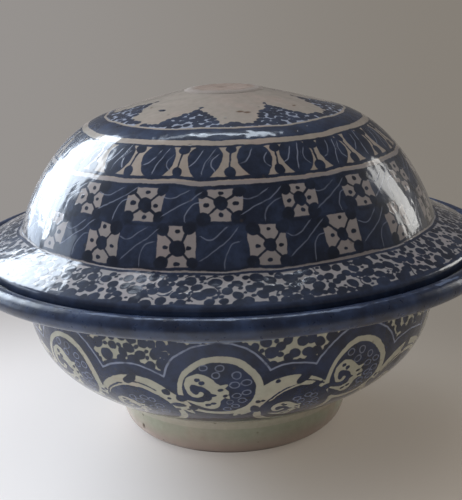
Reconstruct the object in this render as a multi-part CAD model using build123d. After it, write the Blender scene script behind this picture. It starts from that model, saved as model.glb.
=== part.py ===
from build123d import *
import os
from math import cos, radians, sin

# A footed serving bowl of thrown earthenware with a domed lid.
# Each member is a turned form about the Z axis, in millimetres.
# Z = 0 is the surface that the foot stands on.
# Angles are the direction of a profile in the radius-height plane, in degrees,
# with 0 pointing outwards and 90 pointing up.
# A fullness is how far a curve holds its end's direction, as a share of its chord.

# Foot ring, luted under the bowl
FOOT_HEIGHT = 22.0
FOOT_LAND_RADIUS = 74.5
FOOT_LAND_WIDTH = 10.5
FOOT_FLARE = 9.5
FOOT_TOP_WIDTH = 22.0
FOOT_BEVEL = 1.5
FOOT_BASE_ANGLE = 30.0
FOOT_BASE_FULLNESS = 0.42
FOOT_TOP_ANGLE = 75.0
FOOT_TOP_FULLNESS = 0.3

# Bowl wall and floor
BOWL_WALL = 8.0
FLOOR_THICKNESS = 9.0
FLOOR_FULLNESS = 0.45
COVE_RISE = 8.2
COVE_REACH = 6.4
COVE_FULLNESS = 0.4
WALL_SPREAD = 56.1
WALL_BASE_ANGLE = 26.7
WALL_BASE_FULLNESS = 0.61
WALL_TOP_ANGLE = 84.0
WALL_TOP_FULLNESS = 0.345

# Everted brim with the flat seat for the lid
SEAT_HEIGHT = 130.0
BRIM_DROP = 10.0
BRIM_WIDTH = 29.5
BRIM_FILLET = 7.0
LIP_FILLET = 3.0

# Rolled bead that wraps the brim's edge
ROLL_RADIUS = 6.5
ROLL_OVERHANG = 4.0
ROLL_RISE = 6.2

# Lid flange
LID_PLAY = 1.6
LAND_WIDTH = 14.0
LAND_DEPTH = 4.0
FLANGE_WIDTH = 27.9
FLANGE_EDGE = 8.3
FLANGE_THICKNESS = 8.0
FLANGE_OUTER_ANGLE = 154.5
FLANGE_INNER_ANGLE = 158.0
FLANGE_FULLNESS = 0.33
FLANGE_TOP_FILLET = 3.0
FLANGE_BOTTOM_FILLET = 2.2
FLANGE_INNER_FILLET = 3.0

# Lid dome and crown
LID_WALL = 7.5
DOME_BASE_RISE = 20.5
DOME_BASE_ANGLE = 108.5
DOME_BASE_FULLNESS = 0.38
SHOULDER_INSET = 60.0
SHOULDER_RISE = 71.2
SHOULDER_ANGLE = 162.5
SHOULDER_FULLNESS = 0.29
CROWN_RISE = 15.2
CROWN_TOP_ANGLE = 166.5
CROWN_FULLNESS = 0.33

# Bare disc on top of the crown
DISC_RADIUS = 27.3
DISC_THICKNESS = 1.8
DISC_FILLET = 1.2
DISC_MARGIN = 0.7

# Bowl places that follow from the sizes above
FOOT_TOP_RADIUS = FOOT_LAND_RADIUS + FOOT_FLARE
WALL_BASE_RADIUS = FOOT_TOP_RADIUS + COVE_REACH
WALL_BASE_HEIGHT = FOOT_HEIGHT + COVE_RISE
WALL_TOP_RADIUS = WALL_BASE_RADIUS + WALL_SPREAD
WALL_TOP_HEIGHT = SEAT_HEIGHT - BRIM_DROP
BRIM_JOIN_HEIGHT = WALL_TOP_HEIGHT - BRIM_FILLET
BRIM_EDGE_RADIUS = WALL_TOP_RADIUS + BRIM_WIDTH
ROLL_RING_RADIUS = BRIM_EDGE_RADIUS + ROLL_OVERHANG
ROLL_HEIGHT = SEAT_HEIGHT + ROLL_RISE - ROLL_RADIUS

# Lid places that follow from the bead and the seat
LID_RADIUS = ROLL_RING_RADIUS - ROLL_RADIUS - LID_PLAY
DOME_BASE_RADIUS = LID_RADIUS - FLANGE_WIDTH
DOME_BASE_HEIGHT = SEAT_HEIGHT + DOME_BASE_RISE
DOME_INNER_RADIUS = DOME_BASE_RADIUS - LID_WALL
SHOULDER_RADIUS = DOME_BASE_RADIUS - SHOULDER_INSET
SHOULDER_HEIGHT = DOME_BASE_HEIGHT + SHOULDER_RISE
CROWN_TOP_RADIUS = DISC_RADIUS + DISC_MARGIN
CROWN_HEIGHT = SHOULDER_HEIGHT + CROWN_RISE

# How near an edge must lie to count as the one that is looked for
NEAR = 0.01


def spot(radius, height):
    """A point of a profile, at a radius from the axis and a height."""
    return Vector(radius, 0, height)


def heading(angle):
    """The unit direction of a profile that runs at an angle."""
    return Vector(cos(radians(angle)), 0, sin(radians(angle)))


def inwards(point, angle, wall):
    """The point one wall thickness to the left of a profile that runs at an angle."""
    return point + heading(angle + 90) * wall


def climbed(point, angle, height):
    """The point at a height on the straight line that leaves a point at an angle."""
    return point + heading(angle) * ((height - point.Z) / sin(radians(angle)))


def thrown(start, start_angle, start_fullness, end, end_angle, end_fullness):
    """A smooth wall line between two points, leaving and arriving at given angles."""
    chord = (end - start).length
    leave = start + heading(start_angle) * chord * start_fullness
    arrive = end - heading(end_angle) * chord * end_fullness
    return Bezier(start, leave, arrive, end)


def turned(*lines):
    """The solid that a closed profile sweeps about the axis."""
    return revolve(make_face(Wire(lines)), Axis.Z, 360)


def rims_at(body, *points):
    """The circular edges of a turned body that pass through points of its profile."""
    return [
        edge
        for edge in body.edges().filter_by(GeomType.CIRCLE)
        for point in points
        if abs(edge.radius - point.X) < NEAR and abs(edge.center().Z - point.Z) < NEAR
    ]


def bowl_side(base, top):
    """The bowl's belly, from above the foot's cove to under the brim."""
    return thrown(
        base, WALL_BASE_ANGLE, WALL_BASE_FULLNESS, top, WALL_TOP_ANGLE, WALL_TOP_FULLNESS
    )


def dome_side(base, shoulder):
    """The lid's domed side, from the flange to the shoulder."""
    return thrown(
        base, DOME_BASE_ANGLE, DOME_BASE_FULLNESS, shoulder, SHOULDER_ANGLE, SHOULDER_FULLNESS
    )


def crown_side(shoulder, top, top_angle):
    """The lid's shallow crown, from the shoulder inwards."""
    return thrown(shoulder, SHOULDER_ANGLE, CROWN_FULLNESS, top, top_angle, CROWN_FULLNESS)


def foot_ring():
    """Flared ring that the bowl stands on, rounded off outside its flat land."""
    land_outer = spot(FOOT_LAND_RADIUS, 0)
    land_inner = spot(FOOT_LAND_RADIUS - FOOT_LAND_WIDTH, 0)
    outer_top = spot(FOOT_TOP_RADIUS, FOOT_HEIGHT)
    inner_top = spot(FOOT_TOP_RADIUS - FOOT_TOP_WIDTH, FOOT_HEIGHT)
    flare = thrown(
        land_outer,
        FOOT_BASE_ANGLE,
        FOOT_BASE_FULLNESS,
        outer_top,
        FOOT_TOP_ANGLE,
        FOOT_TOP_FULLNESS,
    )
    ring = turned(
        Line(land_inner, land_outer),
        flare,
        Line(outer_top, inner_top),
        Line(inner_top, land_inner),
    )
    return chamfer(rims_at(ring, land_inner), FOOT_BEVEL)


def thrown_bowl():
    """Floor, belly and everted brim as one turned form, with the lid's seat on top."""
    centre_base = spot(0, FOOT_HEIGHT)
    foot_edge = spot(FOOT_TOP_RADIUS, FOOT_HEIGHT)
    wall_base = spot(WALL_BASE_RADIUS, WALL_BASE_HEIGHT)
    wall_top = spot(WALL_TOP_RADIUS, WALL_TOP_HEIGHT)
    edge_depth = (ROLL_RADIUS**2 - ROLL_OVERHANG**2) ** 0.5
    brim_under = spot(BRIM_EDGE_RADIUS, ROLL_HEIGHT - edge_depth)
    brim_over = spot(BRIM_EDGE_RADIUS, SEAT_HEIGHT)
    inner_top = inwards(wall_top, WALL_TOP_ANGLE, BOWL_WALL)
    lip = climbed(inner_top, WALL_TOP_ANGLE, SEAT_HEIGHT)
    inner_base = inwards(wall_base, WALL_BASE_ANGLE, BOWL_WALL)
    centre_floor = centre_base + spot(0, FLOOR_THICKNESS)
    body = turned(
        Line(centre_base, foot_edge),
        thrown(
            foot_edge, FOOT_TOP_ANGLE, COVE_FULLNESS, wall_base, WALL_BASE_ANGLE, COVE_FULLNESS
        ),
        bowl_side(wall_base, wall_top),
        Line(wall_top, brim_under),
        Line(brim_under, brim_over),
        Line(brim_over, lip),
        Line(lip, inner_top),
        bowl_side(inner_base, inner_top),
        thrown(
            centre_floor, 0, FLOOR_FULLNESS, inner_base, WALL_BASE_ANGLE, FLOOR_FULLNESS
        ),
        Line(centre_floor, centre_base),
    )
    body = fillet(rims_at(body, wall_top), BRIM_FILLET)
    return fillet(rims_at(body, lip), LIP_FILLET)


def bowl_wall():
    """Floor and belly of the bowl, up to the level where the brim turns outwards."""
    return split(thrown_bowl(), Plane.XY.offset(BRIM_JOIN_HEIGHT), keep=Keep.BOTTOM)


def bowl_brim():
    """Everted brim of the bowl, with the lid's flat seat on top."""
    return split(thrown_bowl(), Plane.XY.offset(BRIM_JOIN_HEIGHT), keep=Keep.TOP)


def rim_roll():
    """Bead of clay rolled over the brim's edge, which keeps the lid from sliding."""
    bead = Pos(ROLL_RING_RADIUS, ROLL_HEIGHT) * Circle(ROLL_RADIUS)
    reach = 2 * ROLL_RADIUS - ROLL_OVERHANG
    rebate = Pos(BRIM_EDGE_RADIUS, SEAT_HEIGHT) * Rectangle(
        reach, 2 * ROLL_RADIUS, align=(Align.MAX, Align.MAX)
    )
    return revolve(Plane.XZ * (bead - rebate), Axis.Z, 360)


def lid_flange():
    """Sloping flange of the lid, with the flat land that rests on the seat."""
    land_inner = spot(LID_RADIUS - LAND_WIDTH, SEAT_HEIGHT)
    land_outer = spot(LID_RADIUS, SEAT_HEIGHT)
    edge_top = land_outer + spot(0, FLANGE_EDGE)
    crease = spot(DOME_BASE_RADIUS, DOME_BASE_HEIGHT)
    inner_top = spot(DOME_INNER_RADIUS, DOME_BASE_HEIGHT)
    inner_under = inner_top - spot(0, FLANGE_THICKNESS)
    land_step = land_inner + spot(0, LAND_DEPTH)
    slope = thrown(
        edge_top,
        FLANGE_OUTER_ANGLE,
        FLANGE_FULLNESS,
        crease,
        FLANGE_INNER_ANGLE,
        FLANGE_FULLNESS,
    )
    flange = turned(
        Line(land_inner, land_outer),
        Line(land_outer, edge_top),
        slope,
        Line(crease, inner_top),
        Line(inner_top, inner_under),
        Line(inner_under, land_step),
        Line(land_step, land_inner),
    )
    flange = fillet(rims_at(flange, edge_top), FLANGE_TOP_FILLET)
    flange = fillet(rims_at(flange, land_outer), FLANGE_BOTTOM_FILLET)
    return fillet(rims_at(flange, inner_under, land_step), FLANGE_INNER_FILLET)


def lid_dome():
    """Domed wall of the lid, turning over at the shoulder into a shallow crown."""
    base = spot(DOME_BASE_RADIUS, DOME_BASE_HEIGHT)
    inner_base = spot(DOME_INNER_RADIUS, DOME_BASE_HEIGHT)
    shoulder = spot(SHOULDER_RADIUS, SHOULDER_HEIGHT)
    inner_shoulder = inwards(shoulder, SHOULDER_ANGLE, LID_WALL)
    crown_edge = spot(CROWN_TOP_RADIUS, CROWN_HEIGHT)
    crown_centre = spot(0, CROWN_HEIGHT)
    inner_centre = crown_centre - spot(0, LID_WALL)
    return turned(
        Line(inner_base, base),
        dome_side(base, shoulder),
        crown_side(shoulder, crown_edge, CROWN_TOP_ANGLE),
        Line(crown_edge, crown_centre),
        Line(crown_centre, inner_centre),
        crown_side(inner_shoulder, inner_centre, 180),
        dome_side(inner_base, inner_shoulder),
    )


def lid_top_disc():
    """Low unglazed disc on the crown, the scar of a lost grip."""
    disc = Pos(0, 0, CROWN_HEIGHT) * Cylinder(
        DISC_RADIUS, DISC_THICKNESS, align=(Align.CENTER, Align.CENTER, Align.MIN)
    )
    return fillet(rims_at(disc, spot(DISC_RADIUS, CROWN_HEIGHT + DISC_THICKNESS)), DISC_FILLET)


MEMBERS = {
    "foot_ring": foot_ring,
    "bowl_wall": bowl_wall,
    "bowl_brim": bowl_brim,
    "rim_roll": rim_roll,
    "lid_flange": lid_flange,
    "lid_dome": lid_dome,
    "lid_top_disc": lid_top_disc,
}

os.makedirs("parts", exist_ok=True)
for name, make in MEMBERS.items():
    export_step(make(), f"parts/{name}.step")
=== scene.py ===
import logging
import math
from collections.abc import Callable, Sequence
from dataclasses import dataclass, field
from enum import Enum, IntEnum

import bpy
import numpy as np
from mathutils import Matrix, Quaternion, Vector


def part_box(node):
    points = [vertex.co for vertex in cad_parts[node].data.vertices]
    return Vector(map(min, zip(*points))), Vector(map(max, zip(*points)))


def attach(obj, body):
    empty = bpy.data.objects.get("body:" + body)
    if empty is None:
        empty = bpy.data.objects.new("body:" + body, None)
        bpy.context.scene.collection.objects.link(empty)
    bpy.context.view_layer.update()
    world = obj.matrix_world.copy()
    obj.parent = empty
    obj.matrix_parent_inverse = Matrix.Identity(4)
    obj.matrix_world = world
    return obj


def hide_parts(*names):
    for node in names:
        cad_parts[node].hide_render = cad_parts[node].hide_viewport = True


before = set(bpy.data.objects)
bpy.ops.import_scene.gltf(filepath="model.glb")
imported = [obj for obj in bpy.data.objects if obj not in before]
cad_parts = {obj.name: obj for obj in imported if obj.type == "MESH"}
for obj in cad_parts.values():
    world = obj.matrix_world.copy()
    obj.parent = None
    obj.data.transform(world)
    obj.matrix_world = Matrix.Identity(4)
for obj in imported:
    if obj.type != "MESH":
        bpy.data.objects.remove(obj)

# Sections and paintings are in millimetres, and Blender's meshes in metres.
# A section is a line of (radius, height) points about the Z axis.
# A turn is an angle round the Z axis in degrees, from the front (-Y) towards +X.
# A distance is measured along a piece's painted line, from the line's lower or outer end.

LOG = logging.getLogger("bowl")
MM = 0.001
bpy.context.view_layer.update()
UNPAINTED = -99.0
BARE_FIELD = -9.0
FIELDS = ("ink", "side", "near", "load", "wash_and_painted_light", "iron_and_shade")
ALL_ROUND = (-180.0, 180.0)
EVERYWHERE = slice(None)

Line = np.ndarray
Marks = Sequence[tuple[float, ...]]
Pair = tuple[float, float]
Triple = tuple[float, float, float]
Tone = tuple[int, int, int]
Chance = np.random.Generator
Piece = bpy.types.Object
Material = bpy.types.Material
Socket = bpy.types.NodeSocket


class Seed(IntEnum):
    """Where the chance of each part of the work starts."""

    HAND = 11
    TILES = 41
    LEAVES = 42
    CROWN = 43
    FLANGE = 44
    CORNERS = 45
    BEAD = 46
    SCAR = 51
    WEAR = 61
    ARCHES = 100
    DIPS = 200


def heading(angle: float) -> np.ndarray:
    """The unit direction of a section line that runs at an angle in degrees."""
    return np.array([math.cos(math.radians(angle)), math.sin(math.radians(angle))])


def eased(value: np.ndarray, low: float, high: float) -> np.ndarray:
    """A smooth step from 0 at low to 1 at high."""
    share = np.clip((value - low) / (high - low), 0.0, 1.0)
    return share * share * (3.0 - 2.0 * share)


def apart(turn: np.ndarray | float, other: np.ndarray | float) -> np.ndarray | float:
    """How far one turn lies from another the short way round, from -180 to 180 degrees."""
    return (turn - other + 180.0) % 360.0 - 180.0


def spline(start: np.ndarray, leave: np.ndarray, arrive: np.ndarray, end: np.ndarray, steps: int) -> Line:
    """Points on the cubic curve with these four control points."""
    t = np.linspace(0.0, 1.0, steps)[:, None]
    return (1 - t) ** 3 * start + 3 * (1 - t) ** 2 * t * leave + 3 * (1 - t) * t**2 * arrive + t**3 * end


@dataclass(frozen=True)
class Way:
    """A line's direction at one end, in degrees, and how far it holds, as a share of the chord."""

    angle: float
    fullness: float

    def held(self, fullness: float) -> "Way":
        """The same direction, held for another share."""
        return Way(self.angle, fullness)


def thrown(start: Sequence[float], leaving: Way, end: Sequence[float], arriving: Way) -> Line:
    """A smooth wall line between two points.

    Args:
        start: Radius and height where the line begins.
        leaving: How it leaves the start.
        end: Radius and height where the line ends.
        arriving: How it arrives at the end.

    Returns:
        Closely spaced points along the line.
    """
    first, last = np.array(start, float), np.array(end, float)
    chord = float(np.linalg.norm(last - first))
    leave = first + heading(leaving.angle) * chord * leaving.fullness
    arrive = last - heading(arriving.angle) * chord * arriving.fullness
    return spline(first, leave, arrive, last, 600)


def straight(*points: Sequence[float]) -> Line:
    """A line of straight runs through the points."""
    return np.array(points, float)


def travelled(line: Line) -> np.ndarray:
    """The distance along a line at each of its points."""
    return np.concatenate([[0.0], np.cumsum(np.linalg.norm(np.diff(line, axis=0), axis=1))])


def length(line: Line) -> float:
    """The whole length of a line."""
    return float(travelled(line)[-1])


def places(line: Line, distances: np.ndarray) -> Line:
    """The points of a line at distances along it."""
    far = travelled(line)
    return np.stack([np.interp(distances, far, line[:, k]) for k in range(2)], axis=1)


def stretch(line: Line, start: float, end: float) -> Line:
    """The part of a line between two distances along it."""
    far = travelled(line)
    return places(line, np.concatenate([[start], far[(far > start + 1e-6) & (far < end - 1e-6)], [end]]))


def filleted(before: Line, after: Line, radius: float) -> tuple[Line, Line, Line]:
    """Rounds the corner where one line meets the next.

    Args:
        before: The line that runs into the corner.
        after: The line that leaves it.
        radius: Radius of the rounding.

    Returns:
        The shortened first line, the rounding and the shortened second line.
    """
    into = before[-1] - places(before, np.array([length(before) - 0.05]))[0]
    away = places(after, np.array([0.05]))[0] - after[0]
    into, away = into / np.linalg.norm(into), away / np.linalg.norm(away)
    bend = math.acos(float(np.clip(into @ away, -1.0, 1.0)))
    reach = radius * math.tan(bend / 2)
    hold = radius * 4 / 3 * math.tan(bend / 4)
    before = stretch(before, 0.0, length(before) - reach)
    after = stretch(after, reach, length(after))
    round_ = spline(before[-1], before[-1] + into * hold, after[0] - away * hold, after[0], 24)
    return before, round_, after


def evenly(seen: Sequence[float], count: int) -> list[float]:
    """Fills a round of turns up to a count, evenly after the ones that are given.

    Args:
        seen: The given turns, in rising order.
        count: How many turns there are all round.

    Returns:
        All the turns.
    """
    rest = count - len(seen)
    gap = (seen[0] + 360.0 - seen[-1]) / (rest + 1)
    return [*seen, *(seen[-1] + gap * (k + 1) for k in range(rest))]


def followed(turns: Sequence[float]) -> list[Pair]:
    """Each turn of a round with the one that comes after it."""
    return list(zip(turns, (*turns[1:], turns[0] + 360.0)))


def spots_of(piece: Piece) -> np.ndarray:
    """Where a piece's points lie, in metres."""
    return np.array([vertex.co for vertex in piece.data.vertices])


def move(piece: Piece, spots: np.ndarray) -> None:
    """Moves a piece's points to new places, in metres."""
    piece.data.vertices.foreach_set("co", spots.ravel())
    piece.data.update()


@dataclass
class Section:
    """The closed outline that a piece is turned from, with its painted stretch marked.

    Attributes:
        runs: Point rows of the outline, in order.
        along: The painter's distance at each point, or UNPAINTED.
    """

    runs: list[Line] = field(default_factory=list)
    along: list[np.ndarray] = field(default_factory=list)

    def painted(self, line: Line, start: float, step: float) -> "Section":
        """Adds a finely spaced run whose distances count up from a start.

        Args:
            line: The run's points.
            start: The painter's distance at the run's first point.
            step: Spacing of the rows.

        Returns:
            The section itself.
        """
        far = np.linspace(0.0, length(line), max(2, round(length(line) / step) + 1))
        self.runs.append(places(line, far))
        self.along.append(start + far)
        return self

    def plain(self, line: Line, step: float) -> "Section":
        """Adds a run without painting.

        Args:
            line: The run's points.
            step: Spacing of the rows.

        Returns:
            The section itself.
        """
        count = max(2, round(length(line) / step) + 1)
        self.runs.append(places(line, np.linspace(0.0, length(line), count)))
        self.along.append(np.full(count, UNPAINTED))
        return self

    def corners(self, step: float, *points: Sequence[float]) -> "Section":
        """Adds straight runs without painting.

        Args:
            step: Spacing of the rows.
            points: Radius and height of each corner.

        Returns:
            The section itself.
        """
        for first, last in zip(points[:-1], points[1:]):
            self.plain(straight(first, last), step)
        return self

    def outline(self) -> tuple[Line, np.ndarray]:
        """The whole outline in one go, run so that the turned faces point outwards.

        Returns:
            Its points and the painter's distance at each.
        """
        points, along = np.concatenate(self.runs), np.concatenate(self.along)
        keep = [0]
        for k in range(1, len(points)):
            if np.linalg.norm(points[k] - points[keep[-1]]) > 1e-4:
                keep.append(k)
            elif along[keep[-1]] == UNPAINTED:
                keep[-1] = k
        points, along = points[keep], along[keep]
        if min(points[0, 0], points[-1, 0]) > 1e-6:
            if np.linalg.norm(points[0] - points[-1]) < 1e-4:
                points, along = points[:-1], along[:-1]
            points, along = np.vstack([points, points[:1]]), np.append(along, along[0])
        area = np.sum(points[:-1, 0] * points[1:, 1] - points[1:, 0] * points[:-1, 1])
        return (points, along) if area > 0 else (points[::-1], along[::-1])


class Wiring:
    """Adds nodes to a tree and links them, so that a tree reads as a list of steps."""

    def __init__(self, tree: bpy.types.NodeTree) -> None:
        """Keeps the tree that nodes go into."""
        self.tree = tree

    def node(self, kind: str, values: dict[str | int, object] | None = None, **settings: object) -> bpy.types.Node:
        """Adds a node.

        Args:
            kind: Blender's name of the node type.
            values: For each input, a socket to link from or a value to set.
            settings: Properties of the node itself.

        Returns:
            The node.
        """
        made = self.tree.nodes.new(kind)
        for name, value in settings.items():
            setattr(made, name, value)
        for key, value in (values or {}).items():
            if isinstance(value, Socket):
                self.tree.links.new(value, made.inputs[key])
            else:
                made.inputs[key].default_value = value
        return made

    def math(self, operation: str, *values: object) -> Socket:
        """The result of a Math node on one to three values or sockets."""
        return self.node("ShaderNodeMath", dict(enumerate(values)), operation=operation).outputs[0]

    def plus(self, first: object, second: object) -> Socket:
        """One value and another."""
        return self.math("ADD", first, second)

    def minus(self, first: object, second: object) -> Socket:
        """One value less another."""
        return self.math("SUBTRACT", first, second)

    def times(self, first: object, second: object) -> Socket:
        """One value times another."""
        return self.math("MULTIPLY", first, second)

    def either(self, first: object, second: object) -> Socket:
        """The greater of two values."""
        return self.math("MAXIMUM", first, second)

    def vector(self, operation: str, *values: object) -> Socket:
        """The vector that a Vector Math node makes of one or two others."""
        return self.node("ShaderNodeVectorMath", dict(enumerate(values)), operation=operation).outputs[0]

    def scaled(self, value: object, scale: object) -> Socket:
        """A vector or a colour times a number."""
        return self.node("ShaderNodeVectorMath", {0: value, "Scale": scale}, operation="SCALE").outputs[0]

    def long(self, value: object) -> Socket:
        """How long a vector is."""
        return self.node("ShaderNodeVectorMath", {0: value}, operation="LENGTH").outputs["Value"]

    def blend(self, share: object, first: object, second: object) -> Socket:
        """A colour between two colours, by a share."""
        return self.node("ShaderNodeMix", {0: share, 6: first, 7: second}, data_type="RGBA").outputs[2]

    def step(self, value: object, low: object, high: object) -> Socket:
        """A smooth step of a value between two limits, from 0 to 1."""
        values = {0: value, 1: low, 2: high, 3: 0.0, 4: 1.0}
        return self.node("ShaderNodeMapRange", values, interpolation_type="SMOOTHSTEP").outputs[0]

    def spread(self, value: object, *limits: float) -> Socket:
        """A value carried over evenly from its own two limits to two others."""
        return self.node("ShaderNodeMapRange", dict(enumerate((value, *limits)))).outputs[0]

    def noise(self, place: object, scale: object, detail: float = 3.0, rough: float = 0.55) -> Socket:
        """A noise value between about 0.25 and 0.75."""
        values = {"Vector": place, "Scale": scale, "Detail": detail, "Roughness": rough}
        return self.node("ShaderNodeTexNoise", values).outputs[0]

    def drift(self, place: object, scale: object, detail: float, amount: float) -> Socket:
        """A noise about nought, times an amount."""
        return self.times(self.minus(self.noise(place, scale, detail), 0.5), amount)

    def seen(self) -> Socket:
        """One for a ray from the camera, or one mirrored or let through, and nought for any other."""
        path = self.node("ShaderNodeLightPath").outputs
        return self.either(self.either(path["Is Camera Ray"], path["Is Glossy Ray"]), path["Is Transmission Ray"])

    def finish(self, values: dict[str | int, object]) -> None:
        """Ends a material with a Principled shader of these values."""
        shader = self.node("ShaderNodeBsdfPrincipled", values)
        self.node("ShaderNodeOutputMaterial", {"Surface": shader.outputs[0]})


def group(
    name: str, kind: str, takes: Sequence[tuple], gives: Sequence[tuple]
) -> tuple[bpy.types.NodeTree, Wiring, bpy.types.NodeOutputs]:
    """Starts a node group with named sockets.

    Args:
        name: The group's name.
        kind: Blender's name of the tree type.
        takes: Each input's name, its kind and, where it has one, its value.
        gives: Each output's name and kind.

    Returns:
        The tree, its wiring and the values that the group is given.
    """
    tree = bpy.data.node_groups.new(name, kind)
    for way, rows in (("INPUT", takes), ("OUTPUT", gives)):
        for label, sort, *value in rows:
            made = tree.interface.new_socket(name=label, in_out=way, socket_type="NodeSocket" + sort)
            if value:
                made.default_value = value[0]
    w = Wiring(tree)
    return tree, w, w.node("NodeGroupInput").outputs


class Wheel:
    """The potter's wheel: a Geometry Nodes tree that turns a section into a closed wall."""

    closeness = 2e-6
    sharp = math.radians(40)
    margin = 0.006

    def __init__(self) -> None:
        """Builds the tree once."""
        takes = (
            ("Geometry", "Geometry"),
            ("Segments", "Int", 64),
            ("Lump height", "Float", 0.0),
            ("Lump scale", "Float", 9.0),
            ("Seed", "Float", 3.0),
            ("Material", "Material"),
        )
        self.tree, w, given = group("Thrown wall", "GeometryNodeTree", takes, (("Geometry", "Geometry"),))
        self._wire(w, given)

    def _wire(self, w: Wiring, given: bpy.types.NodeOutputs) -> None:
        """Lays a grid over the wall, bends it round the axis and closes its seam.

        Args:
            w: The tree's wiring.
            given: The values that the tree is given.
        """
        section = given["Geometry"]
        rows = w.node("GeometryNodeAttributeDomainSize", {0: section}).outputs["Point Count"]
        columns = w.plus(given["Segments"], 1.0)
        size = {"Size X": 1.0, "Size Y": 1.0, "Vertices X": columns, "Vertices Y": rows}
        grid = w.node("GeometryNodeMeshGrid", size).outputs
        index = w.node("GeometryNodeInputIndex").outputs[0]
        row, column = w.math("MODULO", index, rows), w.math("FLOOR", w.math("DIVIDE", index, rows))

        def sampled(value: Socket, kind: str) -> Socket:
            """A value of the section at a grid point's own row."""
            values = {"Geometry": section, "Value": value, "Index": row}
            return w.node("GeometryNodeSampleIndex", values, data_type=kind).outputs[0]

        def stored(shape: Socket, name: str, value: Socket, kind: str, domain: str) -> Socket:
            """A shape with a value kept on it under a name."""
            values = {"Geometry": shape, "Name": name, "Value": value}
            return w.node("GeometryNodeStoreNamedAttribute", values, data_type=kind, domain=domain).outputs[0]

        place = w.node("GeometryNodeInputPosition").outputs[0]
        mark = w.node("GeometryNodeInputNamedAttribute", {"Name": "along"}, data_type="FLOAT").outputs["Attribute"]
        spot, along = sampled(place, "FLOAT_VECTOR"), sampled(mark, "FLOAT")
        radius, _, height = w.node("ShaderNodeSeparateXYZ", {0: spot}).outputs
        angle = w.times(w.math("DIVIDE", column, given["Segments"]), 2 * math.pi)
        across = w.times(radius, w.math("SINE", angle))
        ahead = w.times(w.times(radius, w.math("COSINE", angle)), -1.0)
        turned = w.node("ShaderNodeCombineXYZ", {0: across, 1: ahead, 2: height}).outputs[0]
        shape = stored(grid["Mesh"], "along", along, "FLOAT", "POINT")
        shape = stored(shape, "OFBake", grid["UV Map"], "FLOAT2", "CORNER")
        for kind, key, value in (
            ("SetPosition", "Position", turned),
            ("MergeByDistance", "Distance", self.closeness),
            ("SetPosition", "Offset", self._lumps(w, given)),
            ("SetShadeSmooth", "Shade Smooth", True),
            ("RealizeInstances", "Realize All", True),
            ("SetMaterial", "Material", given["Material"]),
        ):
            shape = w.node("GeometryNode" + kind, {"Geometry": shape, key: value}).outputs[0]
        w.node("NodeGroupOutput", {"Geometry": shape})

    @staticmethod
    def _lumps(w: Wiring, given: bpy.types.NodeOutputs) -> Socket:
        """The small push of the potter's hands, always inwards, the same wherever pieces meet.

        Args:
            w: The tree's wiring.
            given: The values that the tree is given.

        Returns:
            The push at each point.
        """
        place = w.node("GeometryNodeInputPosition").outputs[0]
        outwards = w.vector("NORMALIZE", w.vector("SUBTRACT", place, (0.0, 0.0, 0.11)))
        values = {"Vector": place, "W": given["Seed"], "Scale": given["Lump scale"], "Detail": 2.0}
        lumps = w.node("ShaderNodeTexNoise", values, noise_dimensions="4D").outputs[0]
        return w.scaled(outwards, w.times(w.minus(lumps, 1.0), given["Lump height"]))

    def throw(self, name: str, section: Section, segments: int, material: Material, lump: float = 0.5) -> Piece:
        """Turns a section into a closed ring or disc.

        Args:
            name: The piece's name.
            section: The outline to turn.
            segments: How many columns go round.
            material: The finish of the whole piece.
            lump: Height of the uneven throwing, in millimetres.

        Returns:
            The piece, with its place in its mesh.
        """
        points, along = section.outline()
        spine = bpy.data.meshes.new(name + "_section")
        spine.vertices.add(len(points))
        flat = np.zeros((len(points), 3))
        flat[:, 0], flat[:, 2] = points[:, 0] * MM, points[:, 1] * MM
        spine.vertices.foreach_set("co", flat.ravel())
        spine.attributes.new("along", "FLOAT", "POINT").data.foreach_set("value", along.astype(np.float32))
        form = bpy.data.objects.new(name + "_form", spine)
        bpy.context.scene.collection.objects.link(form)
        modifier = form.modifiers.new("Thrown", "NODES")
        modifier.node_group = self.tree
        values = {"Segments": segments, "Lump height": lump * MM, "Material": material}
        for item in self.tree.interface.items_tree:
            if item.in_out == "INPUT" and item.name in values:
                modifier[item.identifier] = values[item.name]
        graph = bpy.context.evaluated_depsgraph_get()
        mesh = bpy.data.meshes.new_from_object(form.evaluated_get(graph), depsgraph=graph)
        mesh.name = name
        bpy.data.objects.remove(form)
        bpy.data.meshes.remove(spine)
        mesh.set_sharp_from_angle(angle=self.sharp)
        self._stack_map(mesh, segments, len(points))
        piece = bpy.data.objects.new(name, mesh)
        bpy.context.scene.collection.objects.link(piece)
        return piece

    def _stack_map(self, mesh: bpy.types.Mesh, segments: int, rows: int) -> None:
        """Folds the long strip of a ring's map into stacked sections, so that it fills a square.

        Args:
            mesh: The ring's mesh.
            segments: How many columns go round it.
            rows: How many rows its section has.
        """
        layer = mesh.uv_layers["OFBake"]
        uv = np.zeros(len(layer.data) * 2, np.float32)
        layer.data.foreach_get("uv", uv)
        uv = uv.reshape(-1, 2).astype(float)
        sizes = np.zeros(len(mesh.polygons), int)
        mesh.polygons.foreach_get("loop_total", sizes)
        face = np.repeat(np.arange(len(sizes)), sizes)
        middle = np.bincount(face, uv[:, 0]) / sizes
        count = max(1, round(math.sqrt(segments / rows)))
        section = np.floor(middle * count).clip(0, count - 1)[face]
        across = (uv[:, 0] * count - section) * (1 - 2 * self.margin) + self.margin
        up = (section + uv[:, 1] * (1 - 2 * self.margin * count) + self.margin * count) / count
        layer.data.foreach_set("uv", np.stack([across, up], axis=1).ravel().astype(np.float32))
        layer.active = layer.active_render = True


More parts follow.
